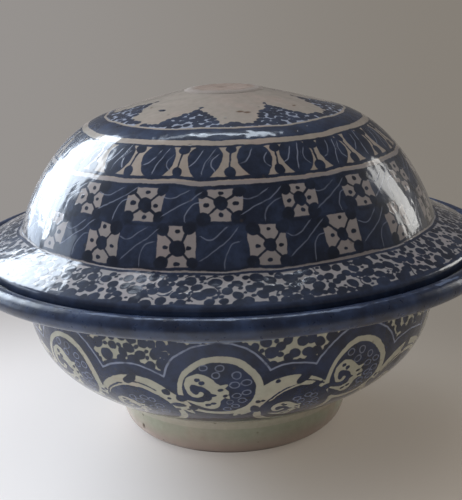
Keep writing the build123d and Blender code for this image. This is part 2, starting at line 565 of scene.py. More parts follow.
class Hand:
    """An unsteady hand: a smooth wandering that depends only on the place."""

    waves = 16

    def __init__(self, seed: int, wave: float, amount: float) -> None:
        """Draws the waves that the wandering is made of.

        Args:
            seed: Seed of the draw.
            wave: Typical wave length, in millimetres.
            amount: Typical size of the wandering.
        """
        draw = np.random.default_rng(seed)
        ways = draw.normal(size=(self.waves, 3))
        ways /= np.linalg.norm(ways, axis=1)[:, None]
        self.ways = ways * (2 * math.pi / (wave * draw.uniform(0.7, 1.5, self.waves)))[:, None]
        self.phases = draw.uniform(0, 2 * math.pi, self.waves)
        self.amount = amount / math.sqrt(self.waves / 2)

    def __call__(self, spots: np.ndarray) -> np.ndarray:
        """The wandering at each place, in millimetres."""
        return np.sin(spots @ self.ways.T + self.phases).sum(axis=1) * self.amount


def flowing(points: Marks, steps: int = 8) -> np.ndarray:
    """A smooth line through points of any number of values each.

    Args:
        points: The values that the line passes through.
        steps: How many steps lie between two points.

    Returns:
        The rows of the line.
    """
    given = np.array(points, float)
    if len(given) < 3:
        return given
    held = np.vstack([2 * given[0] - given[1], given, 2 * given[-1] - given[-2]])
    t = np.linspace(0, 1, steps, endpoint=False)[:, None]
    rows = [
        0.5 * (2 * b + (c - a) * t + (2 * a - 5 * b + 4 * c - d) * t**2 + (3 * b - a - 3 * c + d) * t**3)
        for a, b, c, d in zip(held[:-3], held[1:-2], held[2:-1], held[3:])
    ]
    return np.vstack([*rows, given[-1:]])


def beside(a: np.ndarray, b: np.ndarray, right: np.ndarray, up: np.ndarray) -> tuple[np.ndarray, ...]:
    """Where points lie from a straight run.

    Args:
        a: The run's start.
        b: The run's end.
        right: The points' distances to the right.
        up: The points' distances up.

    Returns:
        The share of the run at the place nearest each point, and how far right and up of it the point is.
    """
    way = b[:2] - a[:2]
    size = float(way @ way) or 1e-9
    share = np.clip(((right - a[0]) * way[0] + (up - a[1]) * way[1]) / size, 0, 1)
    return share, right - a[0] - share * way[0], up - a[1] - share * way[1]


class Canvas:
    """The brushwork on one thrown piece, kept at its points as distances in millimetres.

    `ink` is above 0 inside cobalt. `side` is the signed distance from a fine pale line and
    `near` is how clear it is there. `load` is how thick the cobalt lies. A thin pale blue wash
    and a brown iron stain are kept too; the wash is also laid as painted shade and painted reflection, and the stain as
    painted shade.
    """

    hands = ((46.0, 0.55), (15.0, 0.22), (5.0, 0.1))

    def __init__(self, piece: Piece, line: Line, start: float = 0.0, full: float = 0.9) -> None:
        """Reads where each point of the piece lies on the painted line.

        Args:
            piece: The thrown piece.
            line: The painted section line.
            start: The painter's distance at the line's first point.
            full: How full the brush is, from 0 to 1: its marks' shade over the flat cobalt.
        """
        self.piece = piece
        self.full = full
        spots = spots_of(piece) / MM
        self.along = np.zeros(len(spots))
        piece.data.attributes["along"].data.foreach_get("value", self.along)
        self.face = self.along > UNPAINTED / 2
        self.far = travelled(line) + start
        self.radii = line[:, 0]
        self.reach = np.maximum(np.interp(self.along, self.far, self.radii), 1.0)
        self.turn = np.degrees(np.arctan2(spots[:, 0], -spots[:, 1]))
        for seed, (wave, amount) in enumerate(self.hands, Seed.HAND):
            self.turn += np.degrees(Hand(seed, wave, amount)(spots) / self.reach)
            self.along = self.along + Hand(seed + 10, wave, amount * 0.8)(spots)
        self.ink = np.full(len(spots), BARE_FIELD)
        self.side = np.full(len(spots), -BARE_FIELD)
        self.near, self.load, self.wash_and_painted_light, self.iron_and_shade = (np.zeros(len(spots)) for _ in range(4))

    def radius(self, along: float) -> float:
        """The radius of the painted line at a distance."""
        return float(np.interp(along, self.far, self.radii))

    def local(self, turn: float, along: float) -> tuple[np.ndarray, np.ndarray]:
        """Every point's distance to the right of a place and up from it, on the surface."""
        return np.radians(apart(self.turn, turn)) * self.reach, self.along - along

    def lay(
        self, depth: np.ndarray, where: object = EVERYWHERE, light: bool = False, load: float = 0.0
    ) -> None:
        """Adds cobalt where a depth is above 0, or clears it there.

        Args:
            depth: Signed depth inside the mark, in millimetres.
            where: The points that the depths belong to.
            light: Clears the cobalt instead of adding it.
            load: How thick the added cobalt lies, from 0 to 1.
        """
        if light:
            self.ink[where] = np.minimum(self.ink[where], -depth)
        else:
            self.ink[where] = np.maximum(self.ink[where], depth)
            self.load[where] = np.maximum(self.load[where], self.full * load * eased(depth, -0.4, 0.5))

    def band(self, low: float, high: float, light: bool = False, load: float = 0.0) -> None:
        """Paints a band all round between two distances, or clears one."""
        self.lay(np.minimum(self.along - low, high - self.along), light=light, load=load)

    def around(self, turn: float, along: float, reach: float) -> tuple[np.ndarray, np.ndarray, np.ndarray]:
        """The points near a place, and where they lie from it.

        Args:
            turn: The place's turn.
            along: The place's distance.
            reach: How far to look, in millimetres.

        Returns:
            The points' numbers, and their distances to the right and up.
        """
        right, up = self.local(turn, along)
        near = np.flatnonzero((np.abs(right) < reach) & (np.abs(up) < reach) & self.face)
        return near, right[near], up[near]

    def blob(
        self, turn: float, along: float, wide: float, high: float, tilt: float = 0.0, light: bool = False
    ) -> None:
        """Dabs an oval.

        Args:
            turn: The oval's turn.
            along: The oval's distance.
            wide: Half its width.
            high: Half its height.
            tilt: Its turn on the surface, in degrees.
            light: Clears the cobalt instead of adding it.
        """
        near, right, up = self.around(turn, along, max(wide, high) + 3.0)
        if len(near):
            c, s = math.cos(math.radians(tilt)), math.sin(math.radians(tilt))
            x, y = right * c + up * s, up * c - right * s
            self.lay((1.0 - np.hypot(x / wide, y / high)) * min(wide, high), near, light, 1.0)

    def stroke(self, turn: float, along: float, points: Marks, light: bool = False, load: float = 1.0) -> None:
        """Draws a brush stroke of changing width.

        Args:
            turn: Turn of the stroke's origin.
            along: Distance of the stroke's origin.
            points: For each point, millimetres right and up, and half the width.
            light: Clears the cobalt instead of adding it.
            load: How thick the cobalt lies, from 0 to 1.
        """
        line = flowing(points)
        near, right, up = self.around(turn, along, float(np.abs(line[:, :2]).max()) + 7.0)
        if len(near):
            depth = np.full(len(near), BARE_FIELD)
            for a, b in zip(line[:-1], line[1:]):
                share, x, y = beside(a, b, right, up)
                depth = np.maximum(depth, a[2] + (b[2] - a[2]) * share - np.hypot(x, y))
            self.lay(depth, near, light, load)

    def scratch(self, turn: float, along: float, points: Marks, clear: float = 1.0) -> None:
        """Scratches a fine pale line through the cobalt.

        Args:
            turn: Turn of the line's origin.
            along: Distance of the line's origin.
            points: Points of the line, in millimetres right and up.
            clear: How clearly the line shows, from 0 to 1.
        """
        line = flowing(points)
        near, right, up = self.around(turn, along, float(np.abs(line).max()) + 3.0)
        for a, b in zip(line[:-1], line[1:]):
            _, x, y = beside(a, b, right, up)
            way, gap = b - a, np.hypot(x, y)
            closer = gap < np.abs(self.side[near])
            here, sign = near[closer], np.where(way[0] * y - way[1] * x >= 0, 1.0, -1.0)
            self.side[here] = (gap * sign)[closer]
            self.near[here] = np.maximum(self.near[here], clear * (1.0 - eased(gap[closer], 1.0, 1.8)))

    def ring(self, turn: float, along: float, wide: float, high: float, tilt: float, gap: float) -> None:
        """Scratches a small ring that doesn't quite close.

        Args:
            turn: Turn of its middle.
            along: Distance of its middle.
            wide: Half its width.
            high: Half its height.
            tilt: Where the gap lies, in degrees.
            gap: How many degrees stay open.
        """
        angles = np.radians(np.linspace(tilt + gap / 2, tilt + 360 - gap / 2, 9))
        self.scratch(turn, along, [(wide * math.cos(a), high * math.sin(a)) for a in angles], 0.62)

    def finish(self, rest: np.ndarray | float = BARE_FIELD) -> None:
        """Writes the painting to the piece's mesh and reports it.

        Args:
            rest: The depth inside cobalt at the points off the painted line.
        """
        self.ink[~self.face] = rest
        for name in FIELDS:
            made = self.piece.data.attributes.new(name, "FLOAT", "POINT")
            made.data.foreach_set("value", np.clip(getattr(self, name), -9.0, 9.0).astype(np.float32))
        LOG.info("painted %s", self.piece.name)


def strewn(
    draw: Chance,
    canvas: Canvas,
    turns: Pair,
    span: Pair,
    size: Pair,
    gap: float,
    tries: int,
    taken: list[Triple],
    allowed: Callable[[float, float, float], bool] | None = None,
) -> list[Triple]:
    """Places round dabs one by one, each clear of those already there.

    Args:
        draw: Where chance comes from.
        canvas: The surface, for its radius.
        turns: First and last turn.
        span: First and last distance.
        size: Smallest and largest half width.
        gap: Least room between two dabs.
        tries: How many places are tried.
        taken: The dabs already there, which new ones are added to.
        allowed: Says whether a turn, a distance and a half width are welcome.

    Returns:
        The new dabs: turn, distance and half width.
    """
    fresh = []
    held = np.array(taken) if taken else np.zeros((0, 3))
    for turn, along, half in zip(*(draw.uniform(*limits, tries) for limits in (turns, span, size))):
        if allowed and not allowed(turn, along, half):
            continue
        if len(held):
            right = np.radians(apart(held[:, 0], turn)) * canvas.radius(along)
            if np.any(np.hypot(right, held[:, 1] - along) < held[:, 2] + half + gap):
                continue
        held = np.vstack([held, (turn, along, half)])
        fresh.append((turn, along, half))
    taken.extend(fresh)
    return fresh


def tone(colour: Tone) -> tuple[float, ...]:
    """A colour as the shader wants it, from its plain 0 to 255 values."""
    levels = [value / 255 for value in colour]
    linear = [v / 12.92 if v <= 0.04045 else ((v + 0.055) / 1.055) ** 2.4 for v in levels]
    return (*linear, 1.0)


def started(name: str) -> tuple[Material, Wiring, Socket]:
    """Starts a material.

    Args:
        name: The material's name.

    Returns:
        The material, its wiring and the place on the object.
    """
    material = bpy.data.materials.new(name)
    material.use_nodes = True
    material.node_tree.nodes.clear()
    w = Wiring(material.node_tree)
    return material, w, w.node("ShaderNodeTexCoord").outputs["Object"]


class Effects:
    """Shader node groups that several finishes share, each built once."""

    def __init__(self) -> None:
        """Builds the groups."""
        self.glaze = self._glaze()
        self.specks = self._specks()

    def pooled(self, w: Wiring, glaze: "PaintedGlaze | PlainGlaze") -> bpy.types.NodeOutputs:
        """Adds pooled glaze in a finish's own tones.

        Args:
            w: The finish's wiring.
            glaze: The finish, for its tones and its roughness.

        Returns:
            The glaze's colour, roughness and height.
        """
        values = {"Thin": tone(glaze.thin), "Thick": tone(glaze.thick), "Warm": tone(glaze.warm)}
        values["Roughness"] = glaze.roughness
        return w.node("ShaderNodeGroup", values, node_tree=self.glaze).outputs

    def dusted(self, w: Wiring, share: float) -> Socket:
        """The mask of the specks that a share of the cells hold."""
        return w.node("ShaderNodeGroup", {"Share": share}, node_tree=self.specks).outputs["Mask"]

    @staticmethod
    def _glaze() -> bpy.types.NodeTree:
        """Glaze that pools: its colour drifts between two tones, and its skin is a little uneven."""
        tones = (("Thin", "Color"), ("Thick", "Color"), ("Warm", "Color"))
        takes = (*tones, ("Scale", "Float", 14.0), ("Roughness", "Float", 0.15))
        gives = (("Colour", "Color"), ("Roughness", "Float"), ("Height", "Float"))
        tree, w, given = group("Pooled glaze", "ShaderNodeTree", takes, gives)
        place = w.node("ShaderNodeTexCoord").outputs["Object"]
        broad = w.step(w.noise(place, given["Scale"]), 0.32, 0.68)
        shifted = w.vector("ADD", place, (3.1, 1.7, 0.4))
        flush = w.step(w.noise(shifted, w.times(given["Scale"], 1.7)), 0.5, 0.72)
        mottle = w.noise(place, w.times(given["Scale"], 16.0), 2.0)
        colour = w.blend(broad, given["Thin"], given["Thick"])
        colour = w.blend(w.times(flush, 0.6), colour, given["Warm"])
        colour = w.scaled(colour, w.spread(mottle, 0.3, 0.7, 0.93, 1.05))
        rings = w.noise(w.vector("MULTIPLY", place, (1.0, 1.0, 4.0)), 26.0, 2.0)
        runs = w.times(w.noise(w.vector("MULTIPLY", place, (1.0, 1.0, 0.4)), 115.0, 1.0, 0.5), 2.2)
        skin = w.plus(w.times(rings, 1.3), w.times(w.noise(place, 70.0, 2.0), 0.6))
        skin = w.plus(w.plus(skin, runs), w.times(mottle, 0.22))
        rough = w.plus(given["Roughness"], w.times(w.minus(mottle, 0.5), 0.12))
        w.node("NodeGroupOutput", {"Colour": colour, "Roughness": rough, "Height": skin})
        return tree

    @staticmethod
    def _specks() -> bpy.types.NodeTree:
        """Small dark specks and pinholes, as sand and bursting bubbles leave in a glaze."""
        takes = (("Scale", "Float", 140.0), ("Share", "Float", 0.1))
        tree, w, given = group("Kiln specks", "ShaderNodeTree", takes, (("Mask", "Float"),))
        place = w.node("ShaderNodeTexCoord").outputs["Object"]
        cells = w.node("ShaderNodeTexVoronoi", {"Vector": place, "Scale": given["Scale"]}).outputs
        chance = w.node("ShaderNodeSeparateColor", {0: cells["Color"]}).outputs[0]
        chosen = w.math("LESS_THAN", chance, given["Share"])
        dot = w.minus(1.0, w.step(cells["Distance"], 0.08, 0.2))
        w.node("NodeGroupOutput", {"Mask": w.times(chosen, dot)})
        return tree


class Finish(Enum):
    """The finishes of the bowl, by the material slot each one belongs to."""

    PAINTED = "painted_glaze"
    CREAM = "cream_glaze"
    BARE = "bare_clay"


@dataclass(frozen=True)
class PaintedGlaze:
    """Glossy tin glaze with cobalt brushwork that is read from the painted attributes."""

    name: str
    thin: Tone = (165, 154, 145)
    thick: Tone = (155, 147, 138)
    warm: Tone = (170, 150, 141)
    cobalt: Tone = (32, 41, 62)
    cobalt_thin: Tone = (47, 60, 87)
    cobalt_thick: Tone = (22, 28, 42)
    scratch: Tone = (138, 146, 169)
    # The wash and iron tones tint the cream wherever they are laid, also where they paint shade or reflection.
    wash_and_painted_light: Tone = (106, 122, 154)
    iron_and_shade: Tone = (98, 76, 58)
    speck: Tone = (70, 62, 54)
    specked: float = 0.1
    roughness: float = 0.11
    coat: float = 0.35
    coat_roughness: float = 0.4
    index: float = 1.5

    def build(self, effects: Effects) -> Material:
        """Builds the material.

        Args:
            effects: The shared node groups.

        Returns:
            The material.
        """
        material, w, place = started(self.name)
        read = {name: w.node("ShaderNodeAttribute", attribute_name=name).outputs["Fac"] for name in FIELDS}
        glaze, specks = effects.pooled(w, self), effects.dusted(w, self.specked)
        inside = w.step(w.plus(read["ink"], w.drift(place, 420.0, 2.0, 0.7)), -0.3, 0.3)
        line = w.minus(1.0, w.step(w.math("ABSOLUTE", read["side"]), 0.2, 0.56))
        faint = w.step(w.noise(place, 130.0, 2.0), 0.2, 0.5)
        scratched = w.times(w.times(line, read["near"]), faint)
        load = w.step(w.noise(place, 75.0, 4.0, 0.65), 0.34, 0.7)
        cobalt = w.blend(load, tone(self.cobalt), tone(self.cobalt_thin))
        thickness = w.times(read["load"], w.minus(0.95, w.times(load, 0.35)))
        cobalt = w.blend(thickness, cobalt, tone(self.cobalt_thick))
        ground = w.blend(read["wash_and_painted_light"], glaze["Colour"], tone(self.wash_and_painted_light))
        painted = w.blend(inside, w.blend(read["iron_and_shade"], ground, tone(self.iron_and_shade)), cobalt)
        lined = w.blend(w.times(scratched, 0.9), painted, tone(self.scratch))
        height = w.plus(glaze["Height"], w.times(inside, 0.12))
        height = w.minus(w.minus(height, w.times(scratched, 0.25)), w.times(specks, 0.5))
        bump = w.node("ShaderNodeBump", {"Strength": 0.35, "Distance": 0.0006, "Height": height})
        w.finish(
            {
                "Base Color": w.blend(w.times(specks, 0.35), lined, tone(self.speck)),
                "Roughness": glaze["Roughness"],
                "IOR": self.index,
                "Coat Weight": self.coat,
                "Coat Roughness": self.coat_roughness,
                "Normal": bump.outputs[0],
            }
        )
        return material


@dataclass(frozen=True)
class PlainGlaze:
    """Greenish cream glaze of the foot and the inside, browner where it runs thin at the bottom, with a dark bare edge
    at the foot's base that is bare clay darkened by painted shade.
    """

    name: str
    thin: Tone = (198, 189, 172)
    thick: Tone = (186, 183, 164)
    warm: Tone = (196, 174, 158)
    flush: Tone = (184, 163, 152)
    # The dark brown of the bare edge: the clay's own colour darkened by painted shade.
    bare: Tone = (88, 70, 54)
    pit: Tone = (26, 22, 20)
    speck: Tone = (74, 64, 50)
    specked: float = 0.16
    bare_below: float = 0.0
    roughness: float = 0.2
    index: float = 1.5

    def build(self, effects: Effects) -> Material:
        """Builds the material.

        Args:
            effects: The shared node groups.

        Returns:
            The material.
        """
        material, w, place = started(self.name)
        glaze, specks = effects.pooled(w, self), effects.dusted(w, self.specked)
        height = w.node("ShaderNodeSeparateXYZ", {0: place}).outputs[2]
        ragged = w.plus(height, w.drift(place, 60.0, 4.0, 0.004))
        # The bare edge at the base: bare clay, darkened and browned as painted shade.
        bare_edge_and_shade = w.minus(1.0, w.step(ragged, self.bare_below * 0.6, self.bare_below + 1e-5))
        burst = w.node("ShaderNodeAttribute", attribute_name="iron_and_shade").outputs["Fac"]
        cleared = w.step(ragged, self.bare_below, self.bare_below * 6 + 1e-5)
        colour = w.blend(w.times(w.minus(1.0, cleared), 0.95), glaze["Colour"], tone(self.flush))
        colour = w.blend(w.times(bare_edge_and_shade, 0.8), colour, tone(self.bare))
        colour = w.blend(burst, colour, tone(self.pit))
        skin = w.minus(glaze["Height"], w.times(specks, 0.7))
        bump = w.node("ShaderNodeBump", {"Strength": 0.4, "Distance": 0.0007, "Height": skin})
        w.finish(
            {
                "Base Color": w.blend(w.times(specks, 0.5), colour, tone(self.speck)),
                "Roughness": w.plus(glaze["Roughness"], w.times(bare_edge_and_shade, 0.35)),
                "IOR": self.index,
                "Normal": bump.outputs[0],
            }
        )
        return material


@dataclass(frozen=True)
class BareClay:
    """Rough biscuit clay, scarred where a grip was rubbed off."""

    name: str
    light: Tone = (141, 124, 113)
    dark: Tone = (122, 104, 92)
    smear: Tone = (142, 133, 126)
    clay_radius: float = 0.0225

    def build(self) -> Material:
        """Builds the material."""
        material, w, place = started(self.name)
        broad = w.step(w.noise(place, 55.0, 4.0, 0.6), 0.35, 0.65)
        grit = w.noise(place, 700.0, 3.0, 0.7)
        colour = w.blend(broad, tone(self.light), tone(self.dark))
        far = w.long(w.vector("MULTIPLY", place, (1.0, 1.0, 0.0)))
        ragged = w.plus(far, w.drift(place, 90.0, 3.0, 0.006))
        smeared = w.step(ragged, self.clay_radius - 0.004, self.clay_radius + 0.0015)
        colour = w.blend(w.times(smeared, 0.85), colour, tone(self.smear))
        bump = w.node("ShaderNodeBump", {"Strength": 0.6, "Distance": 0.0008, "Height": grit})
        w.finish(
            {
                "Base Color": w.scaled(colour, w.spread(grit, 0.3, 0.7, 0.85, 1.1)),
                "Roughness": w.spread(grit, 0.3, 0.7, 0.7, 0.95),
                "Normal": bump.outputs[0],
            }
        )
        return material


@dataclass
class Workshop:
    """What every sub-assembly is made with: the wheel, the finishes and the row spacing."""

    wheel: Wheel
    painted: Material
    belly: Material
    bead: Material
    cream: Material
    foot: Material
    bare: Material
    row: float = 0.75

    def columns(self, radius: float) -> int:
        """How many columns a ring needs at a radius, so that they are as close as the rows."""
        return round(2 * math.pi * radius / self.row)

    def wall_ring(self, name: str, outer: Line, inner: Line, start: float, material: Material) -> Piece:
        """Turns a ring of wall.

        Args:
            name: The piece's name.
            outer: The painted outside, run upwards.
            inner: The plain inside, run back down.
            start: The painter's distance at the outside's first point.
            material: The finish of the whole ring.

        Returns:
            The ring.
        """
        section = Section().painted(outer, start, self.row).corners(4.0, outer[-1], inner[0])
        section.plain(inner, 8.0).corners(4.0, inner[-1], outer[0])
        return self.wheel.throw(name, section, self.columns(outer[:, 0].max()), material)

    def seat(self, piece: Piece, body: str, node: str, finish: Finish) -> None:
        """Puts a finished piece in the place of a CAD node.

        Args:
            piece: The piece.
            body: The moving body that it rides on.
            node: The CAD node that it stands for.
            finish: The finish whose slot it would take; not used.
        """
        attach(piece, body)
        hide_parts(node)
        LOG.info("%s rides on %s for %s: %d faces", piece.name, body, node, len(piece.data.polygons))


def high(node: str) -> np.ndarray:
    """The highest corner of a CAD node, in millimetres."""
    return np.array(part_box(node)[1]) / MM


def low(node: str) -> np.ndarray:
    """The lowest corner of a CAD node, in millimetres."""
    return np.array(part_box(node)[0]) / MM


@dataclass(frozen=True)
class TileRow:
    """A row of tiles: the flowers' turns in front, its distance, and half a flower's width and height."""

    flowers: tuple[float, ...]
    along: float
    wide: float
    tall: float


@dataclass
class Lid:
    """The flanged, domed lid with its bands of painting and the bare disc on top."""

    wall: float = 7.5
    base_way: Way = Way(108.5, 0.38)
    shoulder_radius: float = 84.0
    shoulder_drop: float = 15.2
    shoulder_way: Way = Way(162.5, 0.29)
    crown_fullness: float = 0.33
    crown_angle: float = 166.5
    crown_margin: float = 0.7
    flange_edge: float = 8.3
    flange_outer: Way = Way(154.5, 0.33)
    flange_inner: Way = Way(158.0, 0.33)
    flange_thickness: float = 8.0
    land_width: float = 14.0
    land_depth: float = 4.0
    top_fillet: float = 3.0
    bottom_fillet: float = 2.2
    inner_fillet: float = 3.0
    side_end: float = 54.0
    side_blue: Pair = (0.8, 51.6)
    side_lines: tuple[Pair, ...] = ((0.8, 2.2), (26.6, 28.4), (49.6, 51.6))
    tiles: int = 18
    upper_row: TileRow = TileRow((-41.0, -22.5, -1.5, 19.5, 39.0, 60.5), 38.9, 11.4, 10.0)
    lower_row: TileRow = TileRow((-51.0, -32.5, -12.5, 9.5, 29.0, 49.0, 69.0), 14.5, 11.2, 12.0)
    shoulder_end: float = 83.0
    leaf_lines: tuple[Pair, ...] = ((54.7, 57.0), (78.9, 80.6))
    leaf_row: float = 68.0
    leaf_foot: float = 60.0
    leaves: int = 24
    seen_leaves: tuple[float, ...] = (-52.8, -37.2, -21.8, -6.1, 9.6, 23.4, 37.2, 51.4, 65.3)
    crown_blue: Pair = (85.2, 97.6)
    crown_line: Pair = (97.7, 99.4)
    crown_stains: tuple[Triple, ...] = ((10.0, 122.5, 2.6), (14.0, 120.5, 2.4), (51.0, 122.0, 1.6), (-57.0, 125.0, 1.2))
    mounds: int = 8
    first_mound: float = -20.0
    mound_half: float = 17.0
    mound_base: float = 99.8
    mound_height: float = 28.0
    edge_blue: float = 3.9
    crease_blue: Pair = (27.8, 30.0)
    edge_painted: float = 2.6
    disc_edge: Way = Way(160.0, 0.45)
    disc_face: Way = Way(180.0, 0.5)

    def __post_init__(self) -> None:
        """Works out the lid's section lines from the CAD model's boxes."""
        self.base = (high("lid_dome")[0], low("lid_dome")[2])
        self.top = high("lid_dome")[2]
        self.disc_radius = high("lid_top_disc")[0]
        self.rim = (high("lid_flange")[0], low("lid_flange")[2])
        shoulder = np.array([self.shoulder_radius, self.top - self.shoulder_drop])
        rim = (self.disc_radius + self.crown_margin, self.top)
        dome, crown = self.domed(self.base, shoulder, rim, self.crown_angle)
        self.outside = np.vstack([dome, crown[1:]])
        inner_base = (self.base[0] - self.wall, self.base[1])
        inner_shoulder = shoulder + heading(self.shoulder_way.angle + 90) * self.wall
        inner_dome, inner_crown = self.domed(inner_base, inner_shoulder, (0.0, self.top - self.wall), 180.0)
        self.inside = np.vstack([inner_dome, inner_crown[1:]])
        self.dome_length = length(dome)
        self.inner_dome_length = length(inner_dome)

    def domed(
        self, base: Sequence[float], shoulder: Sequence[float], top: Sequence[float], top_angle: float
    ) -> tuple[Line, Line]:
        """The two lines of one face of the dome.

        Args:
            base: Radius and height where the face begins.
            shoulder: Radius and height where it turns over.
            top: Radius and height where it ends.
            top_angle: Direction at the end, in degrees.

        Returns:
            The line up to the shoulder and the line from there to the top.
        """
        side = thrown(base, self.base_way, shoulder, self.shoulder_way)
        over = self.shoulder_way.held(self.crown_fullness)
        return side, thrown(shoulder, over, top, Way(top_angle, self.crown_fullness))

    def within(self, distance: float) -> float:
        """The distance along the inside that lies opposite one along the outside."""
        return distance / self.dome_length * self.inner_dome_length

    def build(self, shop: Workshop) -> None:
        """Makes and places every piece of the lid."""
        self.side(shop)
        self.shoulder(shop)
        self.crown(shop)
        self.flange(shop)
        self.disc(shop)

    def hoop(self, shop: Workshop, name: str, start: float, end: float) -> Canvas:
        """Turns a ring of the dome, of full wall thickness.

        Args:
            shop: What it is made with.
            name: The piece's name.
            start: The distance where it begins.
            end: The distance where it ends.

        Returns:
            The ring's canvas.
        """
        outer = stretch(self.outside, start, end)
        inner = stretch(self.inside, self.within(start), self.within(end))[::-1]
        return Canvas(shop.wall_ring(name, outer, inner, start, shop.painted), self.outside)

    def side(self, shop: Workshop) -> None:
        """The dome's side, with two rows of flower and leaf tiles, its creams dulled by painted shade."""
        canvas = self.hoop(shop, "lid_tile_band", 0.0, self.side_end)
        draw = np.random.default_rng(Seed.TILES)
        canvas.band(*self.side_blue)
        for row in (self.upper_row, self.lower_row):
            for turn, after in followed(evenly(row.flowers, self.tiles)):
                self.leaf_tile(canvas, draw, (turn + after) / 2, row)
                self.flower(canvas, draw, turn, row)
        for line in self.side_lines:
            canvas.band(*line, load=0.7)
        canvas.band(self.side_blue[1], self.side_end + 2.0, light=True)
        canvas.band(-3.0, self.side_blue[0], light=True)
        # A wash and an iron tint over the whole band: painted shade that darkens its creams as if the dome's side stood
        # in shade.
        canvas.wash_and_painted_light[:] = 0.25
        canvas.iron_and_shade[:] = 0.22
        canvas.finish()
        shop.seat(canvas.piece, "lid", "lid_dome", Finish.PAINTED)

    @staticmethod
    def flower(canvas: Canvas, draw: Chance, turn: float, row: TileRow) -> None:
        """A pale tile with four petals, their dots, a dark heart and dark corners.

        Args:
            canvas: Where it is painted.
            draw: Where chance comes from.
            turn: Turn of the tile's middle.
            row: The row that the tile stands in.
        """
        along = row.along
        wide, tall = row.wide * draw.uniform(0.93, 1.08), row.tall * draw.uniform(0.95, 1.02)
        near, right, up = canvas.around(turn, along, 18.0)
        canvas.lay(np.minimum(wide - np.abs(right), tall - np.abs(up)), near, light=True)
        heart_x, heart_y, heart = draw.uniform(-1.2, 1.2), draw.uniform(-1.0, 1.0), draw.uniform(3.1, 4.5)
        canvas.stroke(turn, along, [(heart_x - 0.3, heart_y + 0.5, heart), (heart_x + 0.3, heart_y - 0.6, heart * 0.9)])
        for sign_x in (-1, 1):
            for sign_y in (-1, 1):
                x = sign_x * (wide - 2.4) + draw.uniform(-1.2, 1.2)
                y = sign_y * (tall - 2.0) + draw.uniform(-1.0, 1.0)
                size = draw.uniform(3.2, 4.4)
                canvas.stroke(turn, along, [(x, y, size), (x * 1.06, y * 1.04, size * 0.95)])
                canvas.stroke(turn, along, [(heart_x, heart_y, 0.7), (x, y, draw.uniform(0.55, 1.0))])
        for x, y in ((0, tall - 2.6), (0, 2.8 - tall), (wide - 4.4, 0), (4.4 - wide, 0)):
            x, y = x + heart_x * 0.6 + draw.uniform(-0.8, 0.8), y + heart_y * 0.6 + draw.uniform(-0.7, 0.7)
            dot = draw.uniform(1.0, 1.5)
            canvas.stroke(turn, along, [(x - 0.4, y, dot), (x + 0.5, y + draw.uniform(-0.3, 0.3), dot * 0.85)])

    @staticmethod
    def leaf_tile(canvas: Canvas, draw: Chance, turn: float, row: TileRow) -> None:
        """A dark tile, a little off the shade of its neighbours, with the veins scratched in it.

        Args:
            canvas: Where it is painted.
            draw: Where chance comes from.
            turn: Turn of the tile's middle.
            row: The row that the tile stands in.
        """
        near, right, up = canvas.around(turn, row.along, 18.0)
        depth = np.minimum(11.5 - np.abs(right), row.tall + 1.2 - np.abs(up))
        canvas.lay(depth, near, load=draw.uniform(0.0, 0.45))
        turn += draw.uniform(-0.4, 0.4)
        tall = row.tall / 10.5
        for vein in (
            [(-11.6, 4.6), (-8.2, 3.4), (-4.6, 3.8), (-0.3, 6.6), (3.8, 9.4)],
            [(-11.2, -6.2), (-1.6, -0.2), (5.6, 4.4), (11.4, 9.2)],
            [(11.0, 2.2), (6.8, 1.0), (3.9, -2.6), (2.6, -6.6), (2.6, -10.0)],
        ):
            right, up = draw.uniform(-0.8, 0.8, 2)
            points = [(x + right + draw.uniform(-0.4, 0.4), y * tall + up) for x, y in vein]
            canvas.scratch(turn, row.along, points, draw.uniform(0.4, 0.6))

    def shoulder(self, shop: Workshop) -> None:
        """The band of broad leaves below the shoulder."""
        canvas = self.hoop(shop, "lid_leaf_band", self.side_end, self.shoulder_end)
        draw = np.random.default_rng(Seed.LEAVES)
        for line in self.leaf_lines:
            canvas.band(*line, load=0.5)
        for turn, after in followed(evenly(self.seen_leaves, self.leaves)):
            self.leaf(canvas, draw, turn + draw.uniform(-0.4, 0.4))
            self.stem(canvas, draw, (turn + after) / 2)
        canvas.band(self.leaf_lines[-1][1], self.shoulder_end + 2.0, light=True)
        canvas.finish()
        shop.seat(canvas.piece, "lid", "lid_dome", Finish.PAINTED)

    def leaf(self, canvas: Canvas, draw: Chance, turn: float) -> None:
        """A broad dark leaf, with three veins scratched in it.

        Args:
            canvas: Where it is painted.
            draw: Where chance comes from.
            turn: Turn of the leaf's middle.
        """
        lean = draw.uniform(-1.2, 1.2)
        wide = draw.uniform(0.93, 1.01)
        shape = ((0.3 + lean, 8.8, 5.2), (0.2, 5.2, 8.8), (0.0, 1.8, 10.8), (-0.3, -3.0, 9.4), (-0.7, -8.0, 5.6))
        canvas.stroke(turn, self.leaf_row, [(x, y, half * wide) for x, y, half in shape], load=0.3)
        for vein in (
            [(-0.8, 8.0), (-2.9, 2.8), (-5.4, -0.8), (-8.4, -3.0)],
            [(5.0, 9.2), (2.7, 2.8), (0.4, -2.8), (-0.8, -8.4)],
            [(7.6, 5.0), (5.4, 1.4), (5.2, -2.8), (7.4, -6.2)],
        ):
            if draw.random() < 0.12:
                continue
            right, up = draw.uniform(-1.0, 1.0, 2)
            points = [(x + right + lean * 0.4, y + up + draw.uniform(-0.4, 0.4)) for x, y in vein]
            canvas.scratch(turn, self.leaf_row, points, draw.uniform(0.5, 0.85))

